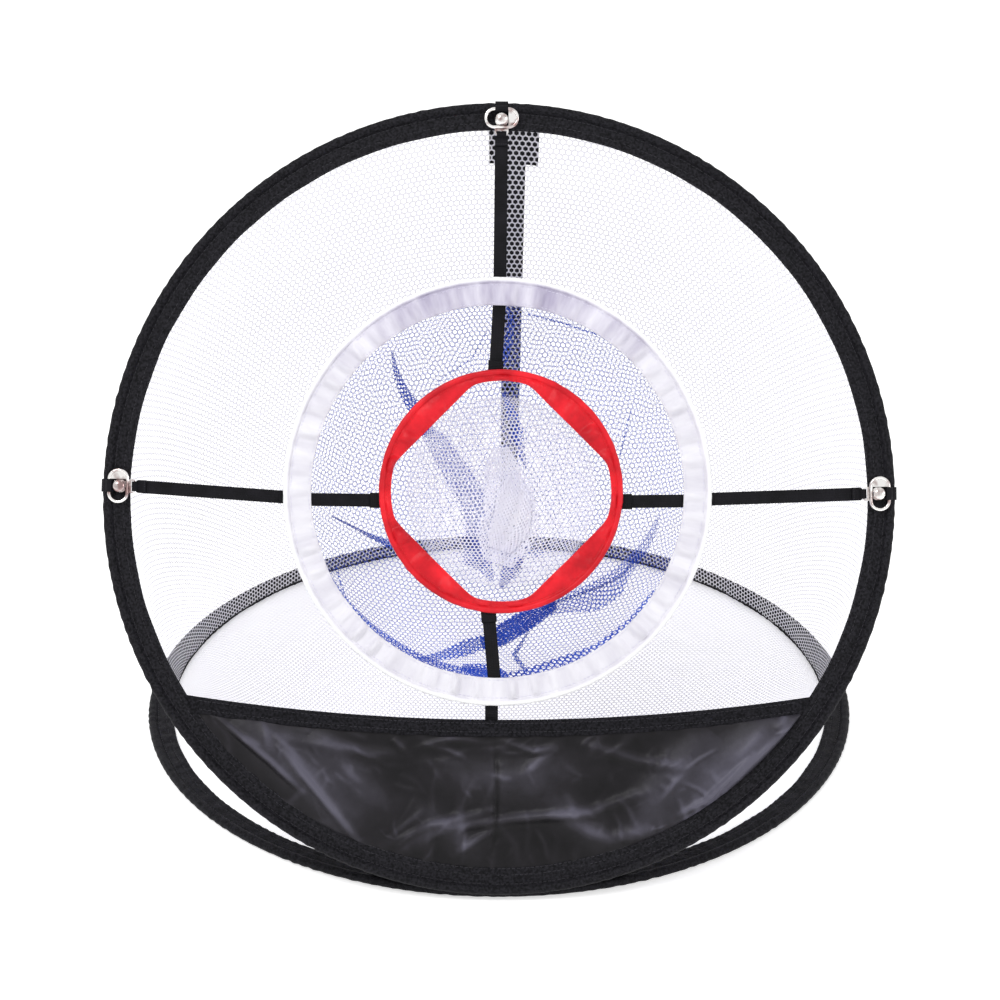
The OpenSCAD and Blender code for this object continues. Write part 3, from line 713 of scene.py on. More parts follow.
def slack(depth, ripple, waves, seed):
    """How far a net hangs off its straight lines: one belly, and ripples that fade away from both seams."""
    rng = np.random.default_rng(seed)
    count, phase = rng.uniform(0.6, 1.4, 5) * waves, rng.uniform(0, 2 * np.pi, 5)

    def drape(f, share):
        belly = depth * np.sin(np.pi * share) * (1 - 0.35 * f ** 2)
        wave = np.cos(np.asarray(f)[..., None] * count + phase).sum(-1) / 2.2
        seam = np.exp(-share * 9) + np.exp(-(1 - share) * 9)
        slow = 1.6 * MM * np.sin(5.1 * f + 2.3 * share * np.pi) * np.sin(np.pi * share)
        return belly + ripple * wave * seam * np.sin(np.pi * np.clip(share, 0.004, 0.996)) ** 0.25 + slow

    return drape


print("the net's edge runs at", round(NET_R, 4), "on the front hoop and", round(FLOOR_R, 4), "on the base")


# %% A flat cloth with staggered holes
def hole_net(locate, width, height, pitch, hole, tall=1.0):
    """Points (n, 3) and faces of a flat width x height cloth with staggered hexagonal holes. locate(x, y) carries
    places on the flat cloth to the surface, and says which of them lie within it. A net that is pulled one way
    has holes tall times as long as they are wide."""
    row = pitch * np.sqrt(3) / 2 * tall
    rows, cols = int(height / row) + 2, int(width / pitch) + 2
    r, c = np.meshgrid(np.arange(rows), np.arange(cols), indexing="ij")
    corner = np.radians(30 + 60 * np.arange(6))
    x = (c + 0.5 * (r % 2))[..., None] * pitch + hole * np.cos(corner)
    y = (r * row)[..., None] + hole * tall * np.sin(corner)
    points, inside = locate(x, y)

    def at(dr, dc, k):
        """Index of corner k of the neighbouring hole dr rows up and dc columns right, or -1."""
        r2, c2 = r + dr, c + dc
        ok = (r2 < rows) & (c2 >= 0) & (c2 < cols)
        return np.where(ok, (np.clip(r2, 0, rows - 1) * cols + np.clip(c2, 0, cols - 1)) * 6 + k, -1)

    odd = r % 2
    right, up_right, up_left = (0, 1), (1, odd), (1, odd - 1)
    quads = [
        [at(0, 0, 5), at(*right, 3), at(*right, 2), at(0, 0, 0)],
        [at(0, 0, 0), at(*up_right, 4), at(*up_right, 3), at(0, 0, 1)],
        [at(0, 0, 1), at(*up_left, 5), at(*up_left, 4), at(0, 0, 2)]]
    triples = [
        [at(0, 0, 0), at(*right, 2), at(*up_right, 4)],
        [at(0, 0, 1), at(*up_right, 3), at(*up_left, 5)]]
    flat_inside = inside.reshape(-1)
    out = []
    for group in (quads, triples):
        faces = np.concatenate([np.stack([i.ravel() for i in face], -1) for face in group])
        faces = faces[(faces >= 0).all(1)]
        out.append(faces[flat_inside[faces].sum(1) >= 2])
    return points.reshape(-1, 3), out, np.stack([x, y], -1).reshape(-1, 2)


print("the back net's holes are", round(2 * HOLE / MM, 2), "by", round(2 * HOLE * NET_TALL / MM, 2), "mm")


# %% Halves of a cloth
def half_of(points, groups, flat, keep):
    """The faces whose middle passes keep, as one list, with only the points that they use, and the flat cut's size:
    its width along the seams and its greatest height across them."""
    faces = []
    for group in groups:
        middle_at = points[group].mean(1)
        faces += group[keep(middle_at)].tolist()
    used = np.unique(np.concatenate([np.array(f) for f in faces]))
    new = np.full(len(points), -1)
    new[used] = np.arange(len(used))
    x, y = flat[used].T
    strip = np.floor((x - x.min()) / (8 * MM))
    height = max(np.ptp(y[strip == k]) for k in np.unique(strip))
    return points[used], [[int(new[i]) for i in f] for f in faces], (float(np.ptp(x)), float(height))


def cloth_area(piece):
    """The area of the yarn itself, holes left out, in square metres."""
    return float(sum(p.area for p in piece.data.polygons))


print("a half keeps only the points that its faces use")

# %% The two sheets and the plane they fold on
FOLD_HALF = np.radians(90 - LEAN) / 2
FOLD_NORMAL = np.array([0.0, np.sin(FOLD_HALF), -np.cos(FOLD_HALF)])


def over_base(p):
    """True on the base hoop's side of the plane halfway between the hoops."""
    return (p - HINGE) @ FOLD_NORMAL > 0


back_sheet = Ruled(front_arc(lambda f: f * FRONT_TURN),
                   base_arc(lambda f: f * BASE_TURN, NET_W, EDGE_R + 0.3 * MM), 1.0, slack(-5 * MM, 1.0 * MM, 46, 4))
floor_sheet = Ruled(front_arc(lambda f: np.pi - f * (np.pi - FRONT_TURN)),
                    base_arc(lambda f: f * BASE_TURN, 0.0, FLOOR_R), 0.985, slack(-3 * MM, 0.8 * MM, 40, 9))
print("flat cloth, back", np.round(back_sheet.size(), 3), "floor", np.round(floor_sheet.size(), 3))

# %% [markdown]
# The net has to fold where the two hoops meet, so each cloth is cut along the plane halfway between them, and each
# half rides its own hoop. The floor's upper half is only a sliver.

# %% Cut each net on the fold and hang it on its hoop
net_pieces = {}
for word, sheet, tall, material in (("back", back_sheet, NET_TALL, NET_WHITE),
                                    ("floor", floor_sheet, FLOOR_TALL, NET_FLOOR)):
    cloth_of = hole_net(sheet.locate, *sheet.size(), NET_PITCH, HOLE, tall)
    for half, keep, body in (("upper", lambda p: ~over_base(p), "front_frame"), ("lower", over_base, "base")):
        points, faces, cut = half_of(*cloth_of, keep)
        piece = add_piece(f"{word}_net_{half}_knit", points, faces, material)
        net_pieces[word, half] = dress(piece, body, "white_mesh", f"{word}_net_{half}")
        if (word, half) != ("floor", "upper"):
            cloth_area(piece)
        print(piece.name, len(piece.data.polygons), "faces")

# %% [markdown]
# ## The front panel
# The panel is stretched over a shape it was not cut for, so it is full of creases. The long ones run from the ends of
# the binding down to the sleeve, and short ones fan out from where it is gathered into the seam. A cloth simulation
# would crease it too, but not in chosen places. So each crease is a ridge along a line, and the panel is the sum.

# %% Creases on a sheet
def crease(x, u, line, width, height):
    """A ridge along a polyline, highest in its middle and gone at its ends: height * exp(-(distance / width)^2)."""
    line = np.array(line, float) * MM
    lengths = np.linalg.norm(np.diff(line, axis=0), axis=1)
    start = np.concatenate([[0], np.cumsum(lengths)])
    best, along = np.full(x.shape, 1e9), np.zeros(x.shape)
    for k in range(len(lengths)):
        d = (line[k + 1] - line[k]) / lengths[k]
        t = np.clip((x - line[k, 0]) * d[0] + (u - line[k, 1]) * d[1], 0, lengths[k])
        gap = np.hypot(x - line[k, 0] - t * d[0], u - line[k, 1] - t * d[1])
        along = np.where(gap < best, (start[k] + t) / start[-1], along)
        best = np.minimum(best, gap)
    return height * MM * np.exp(-((best / (width * MM)) ** 2)) * np.sin(np.pi * np.clip(along, 0.02, 0.98)) ** 0.5


def crumple(x, u, count, span, width, height, seed, tilt=None):
    """The sum of count short random creases, up to span mm long; tilt(x, u) may give the direction they like."""
    rng = np.random.default_rng(seed)
    total = np.zeros(x.shape)
    for _ in range(count):
        cx, cu = rng.uniform(x.min(), x.max()), rng.uniform(u.min(), u.max())
        a = rng.uniform(0, np.pi) if tilt is None else tilt(cx, cu) + rng.normal(0, 0.35)
        half = rng.uniform(0.4, 1) * span / 2
        ends = np.array([[-np.cos(a), -np.sin(a)], [rng.normal(0, 0.15), rng.normal(0, 0.15)],
                         [np.cos(a), np.sin(a)]])
        line = np.array([cx, cu]) / MM + ends * half
        total += crease(x, u, line, width * rng.uniform(0.6, 1.5), height * rng.uniform(0.3, 1))
    return total


print("a 1 mm crease stands", crease(np.zeros(1), np.zeros(1), [(-5, 0), (5, 0)], 2, 1)[0] / MM, "mm at its middle")

# %% The shape between the binding and the hoop
PANEL_TOP, PANEL_RISE, PANEL_X, BINDING_H = 115 * MM - HOOP_R - BEAD, 22 * MM, 4 * MM, 11 * MM
TOP_ARC_R = (EDGE_R ** 2 + PANEL_RISE ** 2) / (2 * PANEL_RISE)
SEAM_TURN = 0.24  # a straight seam counts its puckers as if it were bent round a circle of this radius


def top_edge(x, drop=0.0):
    """Height of the panel's top edge in the hoop's plane: a shallow arc that rises towards both ends."""
    return PANEL_TOP + TOP_ARC_R - np.sqrt((TOP_ARC_R + drop) ** 2 - (x - PANEL_X) ** 2)


def lens(drop, reach, cols, rows):
    """A (cols, rows) grid of x and u between the top arc and the hoop, and the share t of the way down. The two
    corners are found in small steps from outside, and the rows crowd towards both edges by a cosine."""
    limit = EDGE_R + reach
    low, high = -0.97 * limit, 0.97 * limit
    for _ in range(40):
        low += (top_edge(low, drop) + np.sqrt(limit ** 2 - low ** 2) < 0.6 * MM) * 1.2 * MM
        high -= (top_edge(high, drop) + np.sqrt(limit ** 2 - high ** 2) < 0.6 * MM) * 1.2 * MM
    x = np.linspace(low, high, cols)[:, None]
    t = (0.5 - 0.5 * np.cos(np.pi * np.linspace(0, 1, rows)))[None, :]
    top, bottom = top_edge(x, drop), -np.sqrt(limit ** 2 - x ** 2)
    return np.broadcast_to(x, (cols, rows)).copy(), top + (bottom - top) * t, t


px, pu, pt = lens(BINDING_H * 0.9, 1.2 * MM, 400, 112)
print("panel from", round(float(px[0, 0]), 4), "to", round(float(px[-1, 0]), 4))

# %% Its creases
# Each crease is (its line in millimetres in the hoop's plane, its width, its height).
long_creases = [
    ([(-188, -141), (-150, -172), (-128, -193)], 2.2, 1.6), ([(-175, -140), (-122, -186), (-92, -226)], 15, 3.6),
    ([(-143, -162), (-119, -192), (-90, -229)], 3, 1.8), ([(-122, -150), (-92, -186), (-70, -214)], 11, 2.4),
    ([(-78, -229), (-45, -214), (0, -204)], 2.8, 1.8),
    ([(-60, -231), (-35, -216), (10, -210), (60, -206), (96, -192)], 3.4, 2.2),
    ([(-3, -160), (-2, -195), (-4, -236)], 2.2, -1.1), ([(-70, -157), (-62, -166)], 2.5, 1.4),
    ([(-52, -163), (-35, -158), (-16, -159)], 2.4, 1.6), ([(4, -160), (22, -166), (40, -163)], 2.4, 1.5),
    ([(52, -160), (90, -172), (122, -176)], 3.4, 1.4), ([(206, -136), (160, -180), (112, -224)], 3.4, 2.0),
    ([(196, -134), (150, -178), (112, -226)], 17, 4.0), ([(166, -168), (135, -198), (118, -207)], 2.4, 2.2),
    ([(140, -150), (106, -190), (84, -230)], 13, 3.0), ([(40, -212), (72, -224), (104, -217)], 5, 1.8),
    ([(-30, -234), (-12, -222), (0, -216)], 2.8, 1.8), ([(-150, -155), (-100, -164), (-60, -170)], 4, 1.3),
    ([(-46, -180), (0, -186), (56, -178)], 14, 2.4), ([(60, -150), (120, -146), (170, -141)], 5, 1.4),
    ([(-60, -200), (-30, -222), (-10, -238)], 9, 2.0), ([(26, -196), (56, -214), (66, -234)], 10, 2.2)]
CREASES_UP = 1.9
broad = CREASES_UP * sum(crease(px, pu, *line) for line in long_creases)
small = crumple(px, pu, 120, 34, 2.0, 1.2, 71, lambda x, u: np.arctan2(u + 0.05, x) + np.pi / 2 * (u > -0.19))
small += crumple(px, pu, 130, 14, 1.3, 0.6, 72)
stand = broad + small
print("creases stand up to", round(float(stand.max()) / MM, 1), "mm")

# %% The panel's cloth
rim = np.sin(np.pi * np.clip(pt, 0, 1)) ** 0.35
low_middle = 0.25 + 0.75 * np.exp(-((px / (75 * MM)) ** 2))
gather = np.exp(-(1 - pt) * 9) * 0.9 * MM * puckers(px[:, 0] / SEAM_TURN, 150, 60, 12)[:, None] * low_middle
panel_grid = FRONT.place(px, pu, np.maximum(stand * rim, -0.6 * MM) + gather * rim)
panel = thin_solid("front_panel_cloth", panel_grid, 0.45 * MM, PANEL, (0.4, 0.1))
dress(panel, "front_frame", "black_panel", "front_panel")
panel_area = np.trapz(pu[:, 0] - pu[:, -1], px[:, 0])
print("panel", len(panel.data.polygons), "faces, cut area", round(float(panel_area), 4))

# %% [markdown]
# The panel's colour is painted light and shade: pale on the ridges and on slopes that face up and right, black in the
# valleys and on slopes that face down and left. The creases are known as numbers here, so this painted shade is
# worked out from them and stored as the map that the finish reads.

# %% Painted light and shade on the panel, from its creases
# Painted shade: darker on slopes that face down and left and in the valleys, lighter on the ridges and on slopes that
# face up and right.
down = np.gradient(stand, axis=1) / np.minimum(np.gradient(pu, axis=1), -0.1 * MM)
lit_slope = down + 0.6 * np.gradient(stand, axis=0) / np.gradient(px, axis=0)
stands = (broad - broad.mean()) / (11 * MM) + (small - small.mean()) / (5 * MM) + 0.4
stands = np.tile((stands - np.clip(0.26 * lit_slope, -0.35, 0.35)).ravel(), 2)[loop_points(panel.data)]
shade_map = panel.data.uv_layers.new(name="Relief")
shade_map.data.foreach_set("uv", np.stack([stands, 0 * stands], 1).astype(np.float32).ravel())
print("shade_map", np.percentile(stands, [1, 25, 50, 75, 99]).round(2))

# %% [markdown]
# The top edge is bound in a folded tape. Seen from the end the tape is a flat loop with a rounded top, so its front
# and back are one closed surface, waved a little along its lower edge where the stitches pull it in.

# %% The binding
TAPE_REACH, TAPE_BACK = 1.5 * MM, -0.6 * MM
tape_x, _, _ = lens(0, TAPE_REACH, 9, 3)
bx = np.linspace(tape_x[0, 0], tape_x[-1, 0], 460)[:, None]
bt = np.linspace(0, 1, 15)[None, :]
wave = 0.2 * MM * puckers(bx[:, 0] / SEAM_TURN, 60, 20, 4)
room = top_edge(bx) + np.sqrt((EDGE_R + TAPE_REACH) ** 2 - bx ** 2)
bu = top_edge(bx) - np.minimum(BINDING_H, np.maximum(room, 0.3 * MM)) * bt + wave[:, None] * (bt > 0.5)
round_top = 0.9 * MM * np.sqrt(np.clip(1 - (1 - np.minimum(bt / 0.12, 1)) ** 2, 0, 1))
seam = 0.35 * MM * bell(bt, 0.72, 0.05)
pulled = 0.14 * MM * puckers(bx[:, 0] / SEAM_TURN, 120, 40, 5)[:, None] * bell(bt, 0.6, 0.3)
front_face = FRONT.place(bx, bu, 0.6 * MM + round_top - seam + pulled)
back_face = FRONT.place(bx, bu, TAPE_BACK)
both = np.concatenate([back_face[:, ::-1], front_face], 1)
tape = add_piece("binding_tape", both.reshape(-1, 3), grid_faces(*both.shape[:2], wrap_cols=True), BINDING,
                 grid_uv(*both.shape[:2], 0.42, 0.03))
dress(turn_out(tape), "front_frame", "black_binding", "panel_binding")
print("binding", len(tape.data.polygons), "faces")


# %% Its stitches
def stitch_line(name, points, length, radius, material):
    """Beads of thread centred on points (n, 3), lying along their line on cloth that faces the player."""
    ahead = np.gradient(points, axis=0)
    ahead = ahead / np.linalg.norm(ahead, axis=1, keepdims=True)
    side = np.cross(OUT, ahead)
    fat = BEAD_FAT * radius
    grid = (points[:, None, None] + ahead[:, None, None] * (BEAD_ALONG * length)[None, :, :, None]
            + side[:, None, None] * (fat * np.cos(BEAD_TURN))[None, :, :, None]
            + OUT * (fat * np.sin(BEAD_TURN))[None, :, :, None])
    return turn_out(add_piece(name, grid.reshape(-1, 3), bead_faces(len(points)), material))


sx = np.arange(px[0, 0] + 3 * MM, px[-1, 0] - 3 * MM, 2.9 * MM)
for tag, share, height in (("lower", 0.72, 1.25 * MM), ("upper", 0.2, 1.55 * MM)):
    line = FRONT.place(sx, top_edge(sx) - BINDING_H * share, height)
    thread = stitch_line(f"binding_{tag}_stitches", line, 2.1 * MM, 0.2 * MM, THREAD)
    dress(thread, "front_frame", "black_binding")
print("stitches in the binding", 2 * len(sx))

# %% [markdown]
# ## Webbing
# A strap is one ribbon of webbing that follows a path: through the hook's slot, back over itself for a short doubled
# end, and along to the ring. The path is drawn seen from the side of the strap, and its width lies across it. A
# curve with a bevel could do it too, but a grid keeps a uv in metres, so that the ribs stay evenly spaced.

# %% A ribbon along a path
STRAP_W, STRAP_T = 8.5 * MM, 0.8 * MM


def ribbon(name, path, side, width, thickness, material, step=0.8, wobble=0.0, seed=0):
    """A thin solid along path (n, 3): resampled every step mm, width across it along side, a little wavy."""
    path = np.asarray(path, float)
    gone = np.concatenate([[0], np.cumsum(np.linalg.norm(np.diff(path, axis=0), axis=1))])
    at = np.linspace(0, gone[-1], max(int(gone[-1] / step / MM), 4))
    middle_line = np.stack([np.interp(at, gone, path[:, k]) for k in range(3)], 1)
    wide = np.interp(at, gone, np.broadcast_to(width, len(path)))
    side = np.asarray(side, float) / np.linalg.norm(side)
    across = np.linspace(-0.5, 0.5, 9)
    grid = middle_line[:, None] + side * (across * wide[:, None])[..., None]
    if wobble:
        up = np.cross(np.gradient(middle_line, axis=0), side)
        up /= np.linalg.norm(up, axis=1, keepdims=True)
        phase = np.random.default_rng(seed).uniform(0, 6.3, 3)
        lift = wobble * (np.sin(at / 0.021 + phase[0]) + 0.6 * np.sin(at / 0.009 + phase[1]))
        twist = wobble * 1.2 * np.sin(at / 0.03 + phase[2])
        fade = np.sin(np.pi * at / gone[-1])
        grid = grid + up[:, None] * ((lift[:, None] + 2 * across * twist[:, None]) * fade[:, None])[..., None]
    return thin_solid(name, grid, thickness, material, (gone[-1], float(np.max(wide))))


print("webbing is", STRAP_W / MM, "mm wide")

# %% Places on the fittings and the rings
PIVOT_X, LIMB_X, BAR_X, HOOK_END, EYE_C, HOOK_C = (v * MM for v in (1.5, 13.3, 17.3, 18.5, 2.3, 3.0))
WHITE_OFF, RED_OFF, RING_UP = -1 * MM, 1.3 * MM, 5 * MM
ANGLES = {"top": np.radians(89.6), "left": np.radians(178), "right": np.radians(0.8)}


def at_hoop(angle, x, c, y=0.0):
    """A place on a fitting at that angle of the front hoop: x inward from the bead's middle, c out, y along."""
    r = HOOP_R - x
    return FRONT.place(r * np.cos(angle) + y * np.sin(angle), r * np.sin(angle) - y * np.cos(angle), c)


def along_hoop(angle):
    """The direction along the front hoop at that angle."""
    return FRONT.x * np.sin(angle) - FRONT.u * np.cos(angle)


def ring_spot(off, r, angle, side, c):
    """A place on a ring that hangs off to the right of the mouth's middle: at radius r and that angle, then side
    along the ring and c out of its plane."""
    return FRONT.place(off + r * np.cos(angle) - side * np.sin(angle),
                       RING_UP + r * np.sin(angle) + side * np.cos(angle), c)


def arc(cx, cc, r, start, end, count=14):
    """Points (x, c) on a circle, angles in degrees."""
    a = np.radians(np.linspace(start, end, count))
    return [(cx + r * np.cos(t), cc + r * np.sin(t)) for t in a]


print("the top hook sits at", at_hoop(ANGLES["top"], HOOK_END, HOOK_C).round(3))

# %% The three straps on hooks
WHITE_RIM, WHITE_INSIDE, RED_RIM = 0.140, 0.124, 0.082
EYE_W, DOUBLED = 6.4 * MM, 6 * MM
eye_back = HOOK_END + 0.3 * MM + STRAP_T
loop_path = ([(eye_back + DOUBLED, EYE_C + STRAP_T), (eye_back + 0.4 * MM, EYE_C + STRAP_T)]
             + arc(HOOK_END - 0.5 * MM, HOOK_C + 0.6 * MM, 1.45 * MM, 10, 80, 5)
             + arc(BAR_X + 0.35 * MM, HOOK_C + 0.7 * MM, 1.3 * MM, 95, 265, 12)
             + [(HOOK_END, EYE_C), (eye_back, EYE_C)])
strap_width = np.array([STRAP_W] * 2 + [EYE_W] * 18 + [STRAP_W] * 4)
for word, ring_angle, side in (("top", 90, -1.5), ("left", 180, 4.4), ("right", 0, -5.4)):
    a = ANGLES[word]
    head = np.array([at_hoop(a, x, c) for x, c in loop_path])
    end = ring_spot(WHITE_OFF, WHITE_R + RING_BEAD - 9.2 * MM, np.radians(ring_angle), side * MM, 1.3 * MM)
    path = np.concatenate([head, head[-1:] + (end - head[-1]) * np.array([0.03, 0.5, 1.0])[:, None]])
    strap = ribbon(f"{word}_strap_webbing", path, along_hoop(a), strap_width, STRAP_T, WEBBING, 0.6, 0.12 * MM, 3)
    dress_between(strap, at_hoop(a, 18 * MM, 3 * MM),
                  ring_spot(WHITE_OFF, WHITE_RIM, a, 0, 0), f"{word}_strap")
    stitch = np.array([at_hoop(a, eye_back + 4.6 * MM, EYE_C + 1.25 * MM, y * MM) for y in np.linspace(-3, 3, 5)])
    dress(stitch_line(f"{word}_strap_stitches", stitch, 1.2 * MM, 0.2 * MM, THREAD), "front_frame", "black_webbing")
    print(strap.name, len(strap.data.polygons), "faces")

# %% The bottom strap
# It has no hook: it runs from the white ring down behind the binding and ends there.
behind_binding = -(0.6 + 0.3 + 0.4) * MM
strap_x = -4.9 * MM
path = FRONT.place(strap_x, np.array([RING_UP - WHITE_R - RING_BEAD + 9.2 * MM, PANEL_TOP + 4 * MM,
                                      PANEL_TOP + 1 * MM, PANEL_TOP - 21 * MM]),
                   np.array([1.3 * MM, -0.4 * MM, behind_binding, behind_binding]))
strap = ribbon("bottom_strap_webbing", path, (1, 0, 0), STRAP_W, STRAP_T, WEBBING, 0.6)
dress_between(strap, FRONT.place(0, PANEL_TOP, 0),
              FRONT.place(0, RING_UP - WHITE_R - 1 * MM, 0), "bottom_strap")
print(strap.name, len(strap.data.polygons), "faces")

# %% The four straps between the rings
for word, degrees, white_side, red_side in (("top", 90, -1.7, 3.9), ("left", 180, 5.2, 6), ("right", 0, -6.2, -6.8),
                                            ("bottom", 270, -1.4, -8.8)):
    a = np.radians(degrees)
    start = ring_spot(WHITE_OFF, WHITE_R + RING_BEAD - 9.8 * MM, a, white_side * MM, 2.8 * MM)
    end = ring_spot(RED_OFF, RED_R + RING_BEAD - RED_EDGE + 1 * MM, a, red_side * MM, 1.3 * MM)
    across = np.cross(OUT, end - start)
    strap = ribbon(f"{word}_inner_webbing", start + (end - start) * np.array([0, 0.35, 0.7, 1.0])[:, None], across,
                   STRAP_W, STRAP_T, WEBBING, 0.8, 0.15 * MM, degrees)
    fold_at = ring_spot(RED_OFF, RED_R + RING_BEAD, a, red_side * MM, 0)
    inward = (end - start) / np.linalg.norm(end - start)
    share = float((fold_at - start) @ inward)
    over = np.array([start + inward * (share - DOUBLED), start + inward * (share + 4 * MM)]) + OUT * 0.82 * MM
    doubled = ribbon(f"{word}_inner_fold", over, across, 10 * MM, STRAP_T, WEBBING)
    for piece, node in ((strap, f"{word}_inner_strap"), (doubled, None)):
        dress_between(piece, ring_spot(WHITE_OFF, WHITE_INSIDE, a, 0, 0),
                      ring_spot(RED_OFF, RED_RIM, a, 0, 0), node)
    print(strap.name, len(strap.data.polygons), "faces")

# %% [markdown]
# Each hook hangs from an oval link in a tab of webbing, which goes round the hoop's bead, under the sleeve's edge and
# round the link. Link and hook are bright castings that the frame already holds, so they only get their plate, and
# the hook gets the round dome of its snap: a quarter of a circle turned about the snap's middle.

# %% Tabs, links and hooks
TAB_C, DOME_R, DOME_H = -1.3 * MM, 4.1 * MM, 1.9 * MM
tab_path = ([(12 * MM, TAB_C), (5 * MM, TAB_C), (2.5 * MM, -2.9 * MM)] + arc(0, 0, 3.9 * MM, -80, -250, 26)
            + arc(PIVOT_X, 5.6 * MM, 1.8 * MM, 205, -45, 18) + [(3.3 * MM, 4.0 * MM), (4.4 * MM, 3.4 * MM)])
t, turn = np.meshgrid(np.linspace(0, np.pi / 2, 9), np.linspace(0, 2 * np.pi, 33)[:-1], indexing="ij")
for word, a in ANGLES.items():
    tab = ribbon(f"{word}_tab_webbing", [at_hoop(a, x, c) for x, c in tab_path], along_hoop(a), STRAP_W, STRAP_T,
                 WEBBING, 0.5)
    dress(tab, "front_frame", "black_webbing", f"{word}_hoop_tab")
    plate(f"{word}_link", NICKEL)
    plate(f"{word}_hook", NICKEL)
    corners = np.array([tuple(v.co) for v in nodes[f"{word}_hook"].data.vertices]) - FRONT.centre
    inward = HOOP_R - corners @ (np.cos(a) * FRONT.x + np.sin(a) * FRONT.u)
    snap = inward < LIMB_X - 3 * MM
    snap_x, snap_top = (inward[snap].min() + inward[snap].max()) / 2, (corners[snap] @ OUT).max() - 0.2 * MM
    dome = at_hoop(a, snap_x + DOME_R * np.cos(t) * np.cos(turn), snap_top + DOME_H * np.sin(t),
                   DOME_R * np.cos(t) * np.sin(turn))
    under = np.broadcast_to(at_hoop(a, snap_x, snap_top), (1, 32, 3))
    head = add_piece(f"{word}_hook_dome", np.concatenate([under, dome]).reshape(-1, 3),
                     grid_faces(10, 32, wrap_cols=True), NICKEL)
    dress(turn_out(head), f"{word}_hook", "nickel")
for ring in ("base_hoop", "front_hoop", "white_ring", "red_ring"):
    plate(f"{ring}_wire", STEEL)
    plate(f"{ring}_ferrule", FERRULE)

# %% [markdown]
# ## The strap down the back
# It lies on the outside of the back net from the top of the leaning hoop to the back of the base, and ends in a short
# tail under the base hoop's sleeve. A doubled patch is sewn over its top end. The net's own lines carry it, so it
# is cut in two on the fold exactly where the net is, and both halves fold down with their net.

# %% Rear strap, patch and tail
STRAP_LIFT, PATCH_END = (0.25 + 0.3 + 0.4) * MM, 0.075
OFF_THE_NET = np.array([0, 1.0, 0.6])


def net_lines(x_left, x_right):
    """Seven lines of the back net between two x places on the hoop, and their lengths."""
    f = np.arcsin(np.linspace(x_left, x_right, 7) / NET_R) / FRONT_TURN
    return f, np.interp(f, back_sheet.f, back_sheet.length)


def rear_band(name, x_left, x_right, start, end, lift, body, node, steps=120):
    """A band on the back net between two x places on the hoop, from the share start to the share end of the way
    down, and lifted outwards off the net."""
    f, length = net_lines(x_left, x_right)
    f2, v = np.broadcast_arrays(f[None, :], np.linspace(start, end, steps)[:, None] * length[None, :])
    grid = back_sheet.place(f2, v)
    n = normals(grid)
    n = n * np.sign(n[steps // 2, 3] @ OFF_THE_NET)
    lengths = (0.42 * (end - start), abs(x_right - x_left))
    return dress(thin_solid(name, grid + n * lift, STRAP_T, WEBBING, lengths), body, "black_webbing", node)


rear_x = (2 * MM, 18 * MM)
lines, line_lengths = net_lines(*rear_x)
tries = np.linspace(0, 1, 400)
meet = tries[np.argmax(over_base(back_sheet.place(np.full(400, lines[3]), tries * line_lengths[3])))]
rear_upper = rear_band("rear_strap_upper_webbing", *rear_x, 0.0, meet, STRAP_LIFT, "front_frame", "rear_strap_upper")
rear_lower = rear_band("rear_strap_lower_webbing", *rear_x, meet, 1.0, STRAP_LIFT, "base", "rear_strap_lower")
patch = rear_band("rear_patch_webbing", -6.5 * MM, 26.5 * MM, 0.0, PATCH_END, STRAP_LIFT + 1.1 * MM, "front_frame",
                  "rear_strap_patch", 40)
low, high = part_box("rear_strap_tail")
tail_path = np.array([[10 * MM, y, (low[2] + high[2]) / 2] for y in (high[1], low[1])])
tail = dress(ribbon("rear_tail_webbing", tail_path, (1, 0, 0), 16 * MM, STRAP_T, WEBBING, 1.0), "base",
             "black_webbing", "rear_strap_tail")
print("rear strap", [len(o.data.polygons) for o in (rear_upper, rear_lower, patch, tail)], "fold at", round(meet, 3))

# %% [markdown]
# The back net and the floor net meet along a seam on each side, from hoop to hoop, which is bound in white tape.

# %% Side seams of the nets
hems = []
for word, f_end in (("left", -1.0), ("right", 1.0)):
    v = np.linspace(0, float(back_sheet.length[0 if f_end < 0 else -1]), 240)
    seam_line = back_sheet.place(np.full(240, f_end * 0.999), v)
    low_half = over_base(seam_line)
    for half, keep, body in (("upper", ~low_half, "front_frame"), ("lower", low_half, "base")):
        hem = ribbon(f"net_hem_{word}_{half}", seam_line[keep], UP, 4 * MM, 0.7 * MM, HEM, 2.0)
        hems.append((half, dress(hem, body, "white_mesh")))
print("side seams", [hem.name for _, hem in hems])

# %% [markdown]
# ## The two net bags
# Each bag is a round piece of net, wider than its mouth, so it is gathered at the ring. Its middle hangs back and
# down. The flat net is laid on the bag the way a map shows a globe from above a pole: rings round the toe keep their
# distance, and what is left over at the mouth goes into ripples.

